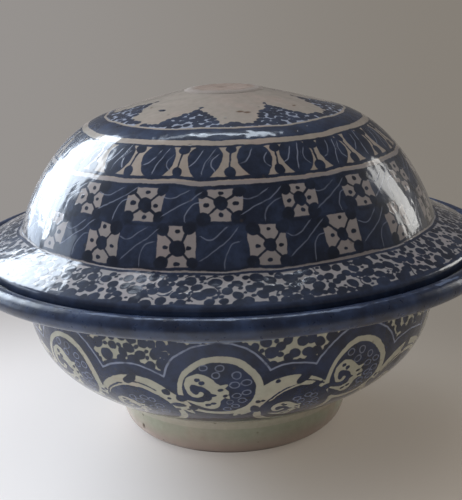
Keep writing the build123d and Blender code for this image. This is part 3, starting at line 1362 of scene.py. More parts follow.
    def stem(self, canvas: Canvas, draw: Chance, turn: float) -> None:
        """The stem between two leaves: a dot at the top, one at the foot and a thin line.

        Args:
            canvas: Where it is painted.
            draw: Where chance comes from.
            turn: Turn of the stem.
        """
        top, foot = draw.uniform(-0.5, 1.2), draw.uniform(-2.2, 0.4)
        size = draw.uniform(2.9, 3.8)
        canvas.stroke(turn, self.leaf_row, [(top, 8.9, size), (top + 0.3, 8.3, size * 0.95)], load=0.6)
        canvas.stroke(turn, self.leaf_row, [(top, 8.0, 0.65), (foot, -6.0, 0.6)], load=0.6)
        size = draw.uniform(2.8, 3.6)
        canvas.stroke(turn, self.leaf_foot, [(foot, 0.4, size), (foot + 0.2, -0.6, size)], load=0.6)

    def crown(self, shop: Workshop) -> None:
        """The glossy blue shoulder and the pale crown with its mounds of dabs."""
        outer = stretch(self.outside, self.shoulder_end, length(self.outside))
        inner = stretch(self.inside, self.within(self.shoulder_end), length(self.inside))[::-1]
        section = Section().plain(inner, 8.0).corners(4.0, inner[-1], outer[0])
        section.painted(outer, self.shoulder_end, shop.row).corners(9.0, outer[-1], (0.0, outer[-1][1]))
        columns = shop.columns(outer[:, 0].max())
        canvas = Canvas(shop.wheel.throw("lid_crown", section, columns, shop.painted), self.outside, full=0.3)
        draw = np.random.default_rng(Seed.CROWN)
        canvas.band(*self.crown_blue)
        for k in range(self.mounds):
            base = self.first_mound + k * (360.0 / self.mounds)
            peak = base + 7.0 * math.cos(math.radians(base - 50.0)) + draw.uniform(-1, 1)
            self.mound(canvas, draw, peak, draw.uniform(0.93, 1.05))
        for turn, along, wide in self.crown_stains:
            near, right, up = canvas.around(turn, along, 8.0)
            stain = 1 - eased(np.hypot(right / wide, up / (wide * 0.6)), 0.5, 1.5)
            canvas.iron_and_shade[near] = np.maximum(canvas.iron_and_shade[near], stain)
        canvas.blob(-43.5, 123.0, 3.0, 1.5)
        canvas.band(*self.crown_line, light=True)
        canvas.wash_and_painted_light[canvas.along < self.crown_line[1]] = 0.0
        canvas.finish()
        shop.seat(canvas.piece, "lid", "lid_dome", Finish.PAINTED)

    def mound(self, canvas: Canvas, draw: Chance, peak: float, tall: float) -> None:
        """A pointed pile of small dabs with pale blue between them and a sprig on its tip.

        Args:
            canvas: Where it is painted.
            draw: Where chance comes from.
            peak: Turn of the pile's tip.
            tall: How tall it is beside the usual.
        """
        half, base, top = self.mound_half, self.mound_base, self.mound_height * tall

        def under(turn: float, along: float, size: float) -> bool:
            """Whether a dab lies inside the pile or in the low row at its foot."""
            away = abs(apart(turn, peak)) / half
            return along + size * 0.7 < base + max(6.5, top * (1.0 - away * away))

        span = (base + 0.6, base + top)
        turns = (peak - half * 1.4, peak + half * 1.4)
        dabs = strewn(draw, canvas, turns, span, (2.1, 3.0), -1.2, 3500, [], under)
        up = canvas.along - base
        away = np.abs(apart(canvas.turn, peak)) / half
        room = np.maximum(5.5, top * (1.0 - away * away)) - 1.5 - up
        canvas.wash_and_painted_light = np.maximum(canvas.wash_and_painted_light, 0.75 * eased(room, 0.0, 2.0) * (away < 1.4) * (up > -0.4))
        for turn, along, size in dabs:
            canvas.blob(turn, along, size * 1.1, size * 0.95, draw.uniform(-60, 60))
        canvas.blob(peak, base + top - 1.0, 3.4, 2.6)
        canvas.stroke(peak, base + top, [(0.0, 0.0, 1.0), (0.6, 2.4, 0.6), (1.2, 4.4, 0.7)])
        canvas.blob(peak + 1.0, base + top + 5.2, 1.7, 1.1, 30.0)

    def flange(self, shop: Workshop) -> None:
        """The sloping flange, covered with dabs, and the flat land that rests on the seat."""
        outer, seat = self.rim
        edge_top = (outer, seat + self.flange_edge)
        inner_top = (self.base[0] - self.wall, self.base[1])
        inner_low = (inner_top[0], self.base[1] - self.flange_thickness)
        step_top = (outer - self.land_width, seat + self.land_depth)
        step_low = (outer - self.land_width, seat)
        slope = thrown(edge_top, self.flange_outer, self.base, self.flange_inner)
        edge = straight((outer, seat), edge_top)
        land, low_round, edge = filleted(straight(step_low, (outer, seat)), edge, self.bottom_fillet)
        edge, top_round, rest = filleted(edge, slope, self.top_fillet)
        under = straight(inner_low, step_top)
        step = straight(step_top, land[0])
        drop, inner_round, under = filleted(straight(inner_top, inner_low), under, self.inner_fillet)
        under, step_round, step = filleted(under, step, self.inner_fillet)
        face = np.vstack([top_round, rest[1:]])
        start = length(slope) - length(rest) - length(top_round)
        section = Section().plain(land, 5.0).plain(low_round, 1.2).plain(edge, 1.2)
        section.painted(face, start, shop.row).corners(4.0, self.base, inner_top)
        section.plain(drop, 3.0).plain(inner_round, 1.5).plain(under, 6.0)
        section.plain(step_round, 1.5).plain(step, 3.0)
        piece = shop.wheel.throw("lid_flange_ring", section, shop.columns(outer), shop.painted)
        canvas = Canvas(piece, face, start, full=0.55)
        canvas.band(-9.0, self.edge_blue)
        canvas.band(*self.crease_blue)
        # A pale blue wash over the whole flange: painted reflection, the bluish cast its creams catch from the light.
        canvas.wash_and_painted_light[:] = 0.3
        self.flange_dabs(canvas)
        radius = np.hypot(*(spots_of(piece) / MM)[~canvas.face, :2].T)
        canvas.finish(np.where(radius > outer - self.edge_painted, 2.0, BARE_FIELD))
        shop.seat(piece, "lid", "lid_flange", Finish.PAINTED)

    @staticmethod
    def flange_dabs(canvas: Canvas) -> None:
        """Round dabs, dots and a few curls over the whole flange."""
        draw = np.random.default_rng(Seed.FLANGE)
        taken: list[Triple] = []
        big, middle, dots = (
            strewn(draw, canvas, ALL_ROUND, span, size, gap, tries, taken)
            for span, size, gap, tries in (
                ((3.8, 26.2), (2.7, 3.8), -1.1, 1800),
                ((4.0, 26.8), (1.8, 2.7), -0.6, 1500),
                ((4.6, 27.2), (0.9, 1.5), 0.1, 4000),
            )
        )
        for turn, along, size in big:
            tilt = draw.uniform(-60, 60)
            canvas.blob(turn, along, size * draw.uniform(1.0, 1.25), size * draw.uniform(0.9, 1.0), tilt)
            if draw.random() < 0.3:
                first, reach = draw.uniform(0, 360), size + 1.7
                curl = [heading(angle) * reach for angle in first + np.linspace(0, 110, 5)]
                canvas.stroke(turn, along, [(x, y, 0.5) for x, y in curl])
        for turn, along, size in middle:
            canvas.blob(turn, along, size * 1.15, size, draw.uniform(-80, 80))
        for turn, along, size in dots:
            canvas.blob(turn, along, size * 1.2, size)

    def disc(self, shop: Workshop) -> None:
        """The bare, scarred disc on top, with a chip at its edge."""
        radius, base, top = self.disc_radius, low("lid_top_disc")[2], high("lid_top_disc")[2]
        soft = thrown((radius, base + 0.15), self.disc_edge, (radius - 10.0, top), self.disc_face)
        section = Section().corners(5.0, (0.0, base), (radius, base)).corners(0.4, (radius, base), soft[0])
        section.plain(soft, 0.5).corners(0.9, soft[-1], (0.0, top))
        piece = shop.wheel.throw("lid_scar_disc", section, 180, shop.bare)
        spots = spots_of(piece)
        place = spots / MM
        raised = eased(place[:, 2], base + 0.6, top - 0.1)
        scar = Hand(Seed.SCAR, 9.0, 0.12)(place) + Hand(Seed.SCAR + 1, 3.2, 0.08)(place)
        sink = 0.25 + np.clip(scar, -0.25, 0.6)
        chip = np.hypot(place[:, 0] - 8.0, place[:, 1] + radius * 0.93)
        sink += 0.7 * (1 - eased(chip, 1.2, 3.2))
        spots[:, 2] -= raised * np.clip(sink, 0.0, top - base - 0.3) * MM
        move(piece, spots)
        shop.seat(piece, "lid", "lid_top_disc", Finish.BARE)


@dataclass(frozen=True)
class Medallion:
    """A scroll medallion on the belly, from an upper or a lower row.

    Attributes:
        canvas: Where it is painted.
        draw: Where its chance comes from.
        turn: Turn of its middle.
        along: Distance of its middle.
        size: Its size beside the usual.
    """

    canvas: Canvas
    draw: Chance
    turn: float
    along: float
    size: float

    def lower(self, disc: float, rings: Sequence[Pair]) -> None:
        """Paints a lower medallion with its scroll, rings, ribbon knot and thin line.

        Args:
            disc: The radius of its disc.
            rings: Where its rings lie, in millimetres right and up.
        """
        near, right, up = self.canvas.around(self.turn, self.along, 34.0)
        if len(near):
            angle = np.degrees(np.arctan2(up, right)) % 360
            bulge = 2.2 * eased(angle, 88.0, 112.0) * (1 - eased(angle, 168.0, 196.0))
            self.canvas.lay(disc + bulge - np.hypot(right / self.size, up), near)
        self.arc((150.0, 82.0), (23.4, 23.2), (0.35, 0.85), light=True)
        self.arc((90.0, 55.0), (26.3, 26.3), (0.6, 0.6))
        self.canvas.stroke(self.turn, self.along, [(-2.4, 26.2, 2.3), (0.4, 28.8, 2.9), (2.2, 31.4, 2.0)])
        self.scroll(self.turn - 1.0, self.along - 1.5, 0.74 * self.size)
        self.scratched(rings)

    def upper(self, rings: Sequence[Pair], knots: Marks) -> None:
        """Paints an upper medallion's scroll and rings, and the knots round it.

        Args:
            rings: Where its rings lie, in millimetres right and up.
            knots: Each knot's place right and up, half width, half height and tilt.
        """
        draw, along = self.draw, self.along
        self.scroll(self.turn, along, 1.2 * self.size - 0.2)
        self.scratched(rings)
        for x, y, wide, tall, tilt in knots:
            x, y = x * self.size + draw.uniform(-0.6, 0.6), y * self.size + draw.uniform(-0.6, 0.6)
            turn = self.turn + math.degrees(x / self.canvas.radius(along + y))
            self.canvas.blob(turn, along + y, wide * draw.uniform(0.9, 1.15), tall * draw.uniform(0.9, 1.1), tilt)

    def arc(self, angles: Pair, reach: Pair, widths: Pair, light: bool = False) -> None:
        """Draws a stroke along an arc round the middle.

        Args:
            angles: Its first and last angle, in degrees.
            reach: How far from the middle it runs, right and up.
            widths: Half its width at the start and at the end.
            light: Clears the cobalt instead of adding it.
        """
        ways = (heading(angle) for angle in np.linspace(*angles, 6))
        points = [
            (reach[0] * self.size * x, reach[1] * y, widths[0] + (widths[1] - widths[0]) * k / 5)
            for k, (x, y) in enumerate(ways)
        ]
        self.canvas.stroke(self.turn, self.along, points, light)

    def scroll(self, turn: float, along: float, size: float) -> None:
        """Paints the pale curling scroll with its spiral eye and dots.

        Args:
            turn: Turn of the scroll's middle.
            along: Distance of the scroll's middle.
            size: The scroll's size, 1 in the largest medallion.
        """
        curls = (
            [(-11.4, 10.2, 4.3), (-6.6, 8.2, 4.6), (-1.0, 2.8, 4.0), (2.6, -0.6, 3.9)],
            [(-12.0, 10.2, 4.0), (-15.9, 8.8, 2.9), (-18.0, 4.8, 1.9), (-17.3, 0.6, 1.6), (-15.2, -2.4, 1.5)],
            [(2.6, -1.4, 3.9), (-0.9, -6.4, 3.2), (-3.4, -11.2, 4.4), (-4.6, -13.0, 4.9)],
            [(-5.5, -13.2, 4.0), (-10.5, -12.3, 2.2), (-15.0, -10.8, 1.3), (-19.3, -8.7, 0.7)],
            [(2.0, 3.6, 2.2), (5.6, 5.6, 0.7)],
            [(4.4, -2.6, 2.2), (7.2, -5.8, 0.6)],
        )
        eye = (
            [(-12.8, 1.0, 3.4), (-10.2, 1.4, 3.7), (-7.2, -0.8, 3.6), (-6.6, -5.2, 3.4)],
            [(-6.4, -2.6, 3.2), (-1.2, -2.6, 0.9)],
        )
        hook = [(-17.2, -0.2, 1.5), (-15.6, -3.0, 1.4), (-12.6, -4.0, 1.3), (-10.3, -2.7, 1.5), (-9.6, -1.5, 1.7)]
        for shapes, light in ((curls, True), (eye, False), ((hook,), True)):
            for shape in shapes:
                self.canvas.stroke(turn, along, np.array(shape) * size, light, 0.0)
        for x, y, wide in (
            (-11.8, 10.0, 1.6), (-8.9, 7.6, 1.8), (2.2, 1.5, 1.4),
            (4.2, -3.2, 1.4), (-3.2, -10.8, 1.6), (-6.2, -13.0, 1.8),
        ):
            x, y, wide = x * size + self.draw.uniform(-0.5, 0.5), y * size + self.draw.uniform(-0.5, 0.5), wide * size
            self.canvas.stroke(turn, along, [(x - 0.3, y, wide * 0.95), (x + 0.4, y + 0.2, wide * 0.85)])

    def scratched(self, rings: Sequence[Pair]) -> None:
        """Scratches the small rings beside the scroll, at places right and up."""
        draw = self.draw
        for x, y in ((right * self.size, up * self.size) for right, up in rings):
            wide, tall = draw.uniform(2.1, 2.8), draw.uniform(1.9, 2.5)
            away = math.degrees((x + draw.uniform(-0.5, 0.5)) / self.canvas.radius(self.along + y))
            up = self.along + y + draw.uniform(-0.5, 0.5)
            self.canvas.ring(self.turn + away, up, wide, tall, draw.uniform(0, 360), 30.0)


@dataclass
class Bowl:
    """The footed bowl: floor, belly in two rings, brim, rolled bead and foot."""

    wall: float = 8.0
    floor: float = 9.0
    floor_way: Way = Way(0.0, 0.45)
    cove_reach: float = 6.4
    cove_rise: float = 8.2
    cove_fullness: float = 0.4
    base_way: Way = Way(26.7, 0.61)
    top_way: Way = Way(84.0, 0.345)
    wall_top: Pair = (146.5, 120.0)
    brim_fillet: float = 7.0
    lip_fillet: float = 3.0
    roll_radius: float = 6.5
    roll_overhang: float = 4.0
    roll_crest: float = 0.66
    foot_land_radius: float = 74.5
    foot_land_width: float = 10.5
    foot_top_width: float = 22.0
    foot_bevel: float = 1.5
    foot_base_way: Way = Way(30.0, 0.42)
    foot_top_way: Way = Way(75.0, 0.3)
    belly_split: float = 57.0
    pit: Pair = (-51.5, 13.5)
    pit_depth: float = 1.2
    foot_line: Pair = (7.6, 9.6)
    foot_pale: float = 11.8
    top_pale: float = 102.3
    top_blue_and_shade: float = 108.4
    arch_row: float = 68.0
    arch: float = 34.3
    arch_ribbon: float = 26.1
    arch_ground: float = 31.0
    arch_disc: float = 22.1
    dip_row: float = 45.0
    dip: float = 39.8
    dip_ribbon: float = 31.6
    dip_ground: float = 27.2
    dip_disc: float = 22.9
    upper_rings: tuple[Pair, ...] = (
        (-7.7, 18.4), (2.2, 17.8), (-0.4, 12.4), (10.7, 12.8), (9.9, 5.6), (16.6, 6.9),
        (11.5, -3.0), (16.9, -1.2), (14.9, -8.4), (7.7, -10.0), (9.9, -15.0), (4.6, -18.2),
    )
    lower_rings: tuple[Pair, ...] = (
        (-3.0, 11.0), (4.5, 12.7), (0.8, 7.3), (9.7, 10.9), (11.9, 4.5),
        (7.2, 0.9), (13.2, -3.2), (7.8, -7.0), (11.0, -12.0), (4.2, -14.5),
    )
    knots: tuple[tuple[float, float, float, float, float], ...] = (
        (-33.3, -2.2, 2.9, 2.6, 0), (-24.2, -7.2, 3.8, 3.4, 20), (-25.6, -14.4, 5.0, 2.8, -8),
        (-16.4, -17.4, 3.1, 3.1, 0), (-27.8, -0.6, 1.4, 1.3, 0), (-31.2, -8.0, 1.4, 1.4, 0),
        (-26.1, -20.3, 1.5, 1.5, 0), (-19.4, -20.4, 1.4, 1.4, 0), (23.6, -10.8, 1.6, 1.9, 0),
        (27.0, -9.8, 1.2, 1.3, 0), (21.6, -20.6, 3.0, 5.6, 22), (28.0, -22.6, 1.6, 1.7, 0),
        (36.0, 5.6, 1.7, 1.3, 20), (12.4, -27.0, 1.3, 1.0, 0), (15.6, -28.2, 1.2, 1.0, 0),
    )
    arches: tuple[float, ...] = (-47.0, -3.8, 32.8, 73.6, 114.0, 154.4, 194.8, 235.2, 274.5)
    upper_sizes: tuple[float, ...] = (0.95, 1.0, 0.9, 0.96, 1.0, 0.93, 0.98, 0.91, 0.96)
    lower_shifts: tuple[float, ...] = (-0.9, 2.8, -0.6, 0.4, -0.5, 0.3, -0.6, 0.5, -0.3)
    lower_sizes: tuple[float, ...] = (1.0, 0.94, 0.97, 1.0, 0.96, 0.98, 0.95, 0.99, 0.97)

    def __post_init__(self) -> None:
        """Works out the bowl's section lines from the CAD model's boxes."""
        self.foot_top = (high("foot_ring")[0], high("foot_ring")[2])
        self.seat = high("bowl_brim")[2]
        self.join = low("bowl_brim")[2]
        self.brim_edge = high("bowl_brim")[0]
        self.roll = np.array([high("rim_roll")[0] - self.roll_radius, high("rim_roll")[2] - self.roll_radius])
        self.roll_depth = math.sqrt(self.roll_radius**2 - self.roll_overhang**2)
        self.base = (self.foot_top[0] + self.cove_reach, self.foot_top[1] + self.cove_rise)
        self.inner_base = np.array(self.base) + heading(self.base_way.angle + 90) * self.wall
        self.inner_top = np.array(self.wall_top) + heading(self.top_way.angle + 90) * self.wall
        self.belly, self.inside = (
            thrown(start, self.base_way, end, self.top_way)
            for start, end in ((self.base, self.wall_top), (self.inner_base, self.inner_top))
        )
        out, over = (way.held(self.cove_fullness) for way in (self.foot_top_way, self.base_way))
        self.cove = thrown(self.foot_top, out, self.base, over)

    def level(self, line: Line, height: float) -> float:
        """The distance along a rising line where it reaches a height."""
        return float(np.interp(height, line[:, 1], travelled(line)))

    def build(self, shop: Workshop) -> None:
        """Makes and places every piece of the bowl."""
        join = self.level(self.belly, self.join)
        self.belly_ring(shop, "bowl_belly_lower", 0.0, self.belly_split)
        self.belly_ring(shop, "bowl_belly_upper", self.belly_split, join)
        self.base_disc(shop)
        self.brim(shop, join)
        self.bead(shop)
        self.foot(shop)

    def belly_ring(self, shop: Workshop, name: str, start: float, end: float) -> None:
        """Makes a ring of the belly.

        Args:
            shop: What it is made with.
            name: The piece's name.
            start: The distance where it begins.
            end: The distance where it ends.
        """
        outer = stretch(self.belly, start, end)
        share = length(self.inside) / length(self.belly)
        inner_end = self.level(self.inside, self.join) if outer[-1][1] > self.join - 0.01 else end * share
        inner = stretch(self.inside, start * share, inner_end)[::-1]
        canvas = Canvas(shop.wall_ring(name, outer, inner, start, shop.belly), self.belly, full=0.3)
        self.paint_belly(canvas)
        canvas.finish()
        shop.seat(canvas.piece, "bowl", "bowl_wall", Finish.PAINTED)

    def paint_belly(self, canvas: Canvas) -> None:
        """Paints the scalloped band, the two rows of medallions and what lies between them."""
        big = [(turn, self.arch_row, size) for turn, size in zip(self.arches, self.upper_sizes)]
        dips = [((left + right) / 2, self.dip_row, 1.0) for left, right in followed(self.arches)]
        small = [
            (turn + shift, along, size)
            for (turn, along, _), shift, size in zip(dips, self.lower_shifts, self.lower_sizes)
        ]
        to_arch = self.nearest(canvas, [(turn, along, 1.0) for turn, along, _ in big])
        to_dip, to_big, to_small = (self.nearest(canvas, centres) for centres in (dips, big, small))
        edge = np.where(canvas.along > 58.0, np.minimum(to_arch - self.arch, to_dip - self.dip), BARE_FIELD)
        canvas.lay(np.minimum(-edge, canvas.along - 11.5))
        rims = [(turn + 0.3, along, size) for turn, along, size in big]
        canvas.lay(self.arch_ribbon - self.nearest(canvas, rims), light=True)
        canvas.lay(self.dip_ribbon - to_dip, light=True)
        ground = np.minimum(np.minimum(to_big - self.arch_ground, to_small - self.dip_ground), 48.0 - canvas.along)
        canvas.lay(np.minimum(ground, canvas.along - 13.0))
        canvas.lay(self.arch_disc - to_big)
        canvas.lay(self.foot_pale - canvas.along, light=True)
        canvas.band(*self.foot_line)
        painted = (canvas.along > 11.0) & canvas.face
        canvas.side = np.where(painted, edge / 1.5, -BARE_FIELD)
        canvas.near = np.where(painted, 1.0 - eased(np.abs(edge), 1.6, 2.6), 0.0)
        self.spandrels(canvas, edge)
        for k, place in enumerate(small):
            Medallion(canvas, np.random.default_rng(Seed.DIPS + k), *place).lower(self.dip_disc, self.lower_rings)
        for k, place in enumerate(big):
            Medallion(canvas, np.random.default_rng(Seed.ARCHES + k), *place).upper(self.upper_rings, self.knots)
        self.top_band(canvas)

    @staticmethod
    def nearest(canvas: Canvas, centres: Sequence[Triple]) -> np.ndarray:
        """Measures how far every point lies from the nearest of some centres.

        Args:
            canvas: The surface.
            centres: Each one's turn, distance and relative width.

        Returns:
            The distances, in millimetres.
        """
        best = np.full(len(canvas.turn), 500.0)
        for turn, along, size in centres:
            right, up = canvas.local(turn, along)
            best = np.minimum(best, np.hypot(right / size, up))
        return best

    def top_band(self, canvas: Canvas) -> None:
        """The pale blue band under the brim and the darker cobalt one above it, which also stands in for painted shade
        under the brim.
        """
        above = canvas.along - self.top_pale
        canvas.ink = np.where(above > 0, np.minimum(canvas.ink, -above), canvas.ink)
        canvas.wash_and_painted_light = np.maximum(canvas.wash_and_painted_light, 0.85 * eased(above, -0.3, 0.3))
        # Cobalt above the pale band, partly the glaze's blue and partly painted shade under the brim.
        canvas.lay(canvas.along - self.top_blue_and_shade)
        canvas.side = np.where(above > -0.2, -BARE_FIELD, canvas.side)

    def spandrels(self, canvas: Canvas, edge: np.ndarray) -> None:
        """Crowds dabs into the corners above the scalloped line.

        Args:
            canvas: Where they are painted.
            edge: Every point's distance outside the scalloped line.
        """
        draw = np.random.default_rng(Seed.CORNERS)
        canvas.lay(np.minimum(2.7 - edge, edge - 0.2))
        for left, right in followed(self.arches):
            upper = [(turn, self.arch_row, self.arch) for turn in (left, right)]
            circles = (*upper, ((left + right) / 2, self.dip_row, self.dip))

            def outside(turn: float, along: float, size: float) -> bool:
                """Whether a dab lies above the scalloped line."""
                reach = canvas.radius(along)
                gaps = (
                    math.hypot(math.radians(apart(turn, centre)) * reach, along - height) - radius
                    for centre, height, radius in circles
                )
                return min(gaps) > size * 0.7

            taken: list[Triple] = []
            dabs = strewn(draw, canvas, (left, right), (84.0, 102.0), (2.7, 4.2), -1.5, 220, taken, outside)
            dabs += strewn(draw, canvas, (left, right), (84.0, 102.5), (1.2, 2.2), -0.3, 400, taken, outside)
            for turn, along, size in dabs:
                canvas.blob(turn, along, size * 1.1, size * 0.95, draw.uniform(-60, 60))

    def base_disc(self, shop: Workshop) -> None:
        """The bowl's floor with the cove above the foot, plain glazed."""
        centre = (0.0, self.foot_top[1] + self.floor)
        top = thrown(centre, self.floor_way, self.inner_base, self.base_way.held(self.floor_way.fullness))
        section = Section().corners(8.0, (0.0, self.foot_top[1]), self.foot_top).plain(self.cove, 0.9)
        section.corners(4.0, self.base, self.inner_base).plain(top[::-1], 3.0)
        piece = shop.wheel.throw("bowl_base", section, 320, shop.cream)
        shop.seat(piece, "bowl", "bowl_wall", Finish.PAINTED)

    def brim(self, shop: Workshop, join: float) -> None:
        """The everted brim, blue below, partly as painted shade under its edge, and plain on the seat.

        Args:
            shop: What it is made with.
            join: The distance along the belly where the brim begins.
        """
        under_edge = (self.brim_edge, self.roll[1] - self.roll_depth)
        outer = stretch(self.belly, join, length(self.belly))
        outer, turn_out, under = filleted(outer, straight(self.wall_top, under_edge), self.brim_fillet)
        up = heading(self.top_way.angle)
        lip = self.inner_top + up * ((self.seat - self.inner_top[1]) / up[1])
        seat = straight((self.brim_edge, self.seat), lip)
        seat, lip_round, inner = filleted(seat, straight(lip, self.inner_top), self.lip_fillet)
        rest = stretch(self.inside, self.level(self.inside, self.join), length(self.inside))[::-1]
        face = np.vstack([outer, turn_out[1:], under[1:]])
        section = Section().painted(face, join, 1.2)
        section.corners(3.0, under_edge, seat[0]).plain(seat, 5.0).plain(lip_round, 0.8)
        section.plain(np.vstack([inner, rest[1:]]), 3.0).corners(4.0, rest[-1], outer[0])
        canvas = Canvas(shop.wheel.throw("bowl_brim_ring", section, 540, shop.belly), face, join)
        # Cobalt on the brim's outside and underside, partly the glaze's blue and partly painted shade under the brim.
        canvas.lay(canvas.along - self.top_blue_and_shade)
        canvas.wash_and_painted_light[canvas.face] = 0.85
        canvas.finish()
        shop.seat(canvas.piece, "bowl", "bowl_brim", Finish.PAINTED)

    def bead(self, shop: Workshop) -> None:
        """The bead rolled over the brim's edge, blue with a worn, paler back."""
        above = self.seat - self.roll[1]
        first = math.degrees(math.atan2(-self.roll_depth, -self.roll_overhang))
        last = math.degrees(math.atan2(above, -math.sqrt(self.roll_radius**2 - above**2)))
        round_ = np.array([self.roll + heading(a) * self.roll_radius for a in np.linspace(first, last, 200)])
        section = Section().painted(round_, 0.0, 1.0).corners(3.0, round_[-1], (self.brim_edge, self.seat), round_[0])
        piece = shop.wheel.throw("rim_bead", section, 900, shop.bead)
        canvas = Canvas(piece, round_)
        spots = spots_of(piece) / MM
        wear = Hand(Seed.WEAR, 30.0, 0.8)(spots) + Hand(Seed.WEAR + 1, 7.0, 0.5)(spots)
        crest = self.roll_crest * length(round_)
        canvas.wash_and_painted_light[:] = 1.0
        canvas.ink = np.abs(canvas.along - crest) - 0.25 - 0.5 * wear
        draw = np.random.default_rng(Seed.BEAD)
        for turn in draw.uniform(*ALL_ROUND, 22):
            along, wide, tall = crest + draw.uniform(-3, 3), draw.uniform(1, 3), draw.uniform(0.4, 0.8)
            canvas.blob(turn, along, wide, tall, light=True)
        canvas.finish()
        shop.seat(piece, "bowl", "rim_roll", Finish.PAINTED)

    def foot(self, shop: Workshop) -> None:
        """The flared foot in plain cream glaze, with a burst bubble on its left."""
        outer_land = (self.foot_land_radius, 0.0)
        inner_land = (self.foot_land_radius - self.foot_land_width, 0.0)
        inner_top = (self.foot_top[0] - self.foot_top_width, self.foot_top[1])
        flare = thrown(outer_land, self.foot_base_way, self.foot_top, self.foot_top_way)
        bevel = self.foot_bevel
        chamfer = np.array(inner_land) + (np.array(inner_top) - inner_land) * (bevel / self.foot_top[1])
        section = Section().painted(flare, 0.0, 0.6).corners(6.0, self.foot_top, inner_top)
        section.corners(4.0, inner_top, chamfer).corners(2.0, chamfer, (inner_land[0] + bevel, 0.0), outer_land)
        piece = shop.wheel.throw("foot_ring_glazed", section, 880, shop.foot)
        canvas = Canvas(piece, flare)
        near, right, up = canvas.around(*self.pit, 5.0)
        burst = 1.0 - eased(np.hypot(right, up / 1.5), 0.8, 1.5)
        canvas.iron_and_shade[near] = burst
        canvas.finish()
        spots = spots_of(piece)
        inward = -spots[near] / np.linalg.norm(spots[near, :2], axis=1)[:, None] * (1.0, 1.0, 0.0)
        spots[near] += inward * burst[:, None] * self.pit_depth * MM
        move(piece, spots)
        shop.seat(piece, "bowl", "foot_ring", Finish.CREAM)


@dataclass(frozen=True)
class Panel:
    """A soft rectangular lamp that faces the bowl: the way to it, its size in metres, and its light."""

    name: str
    turn: float
    elevation: float
    size: Pair
    radiance: float
    colour: Triple
    away: float = 2.6


SKY = (0.79, 0.89, 1.0)
HAZE = (0.72, 0.84, 1.0)
ROOM = (1.0, 0.99, 0.95)


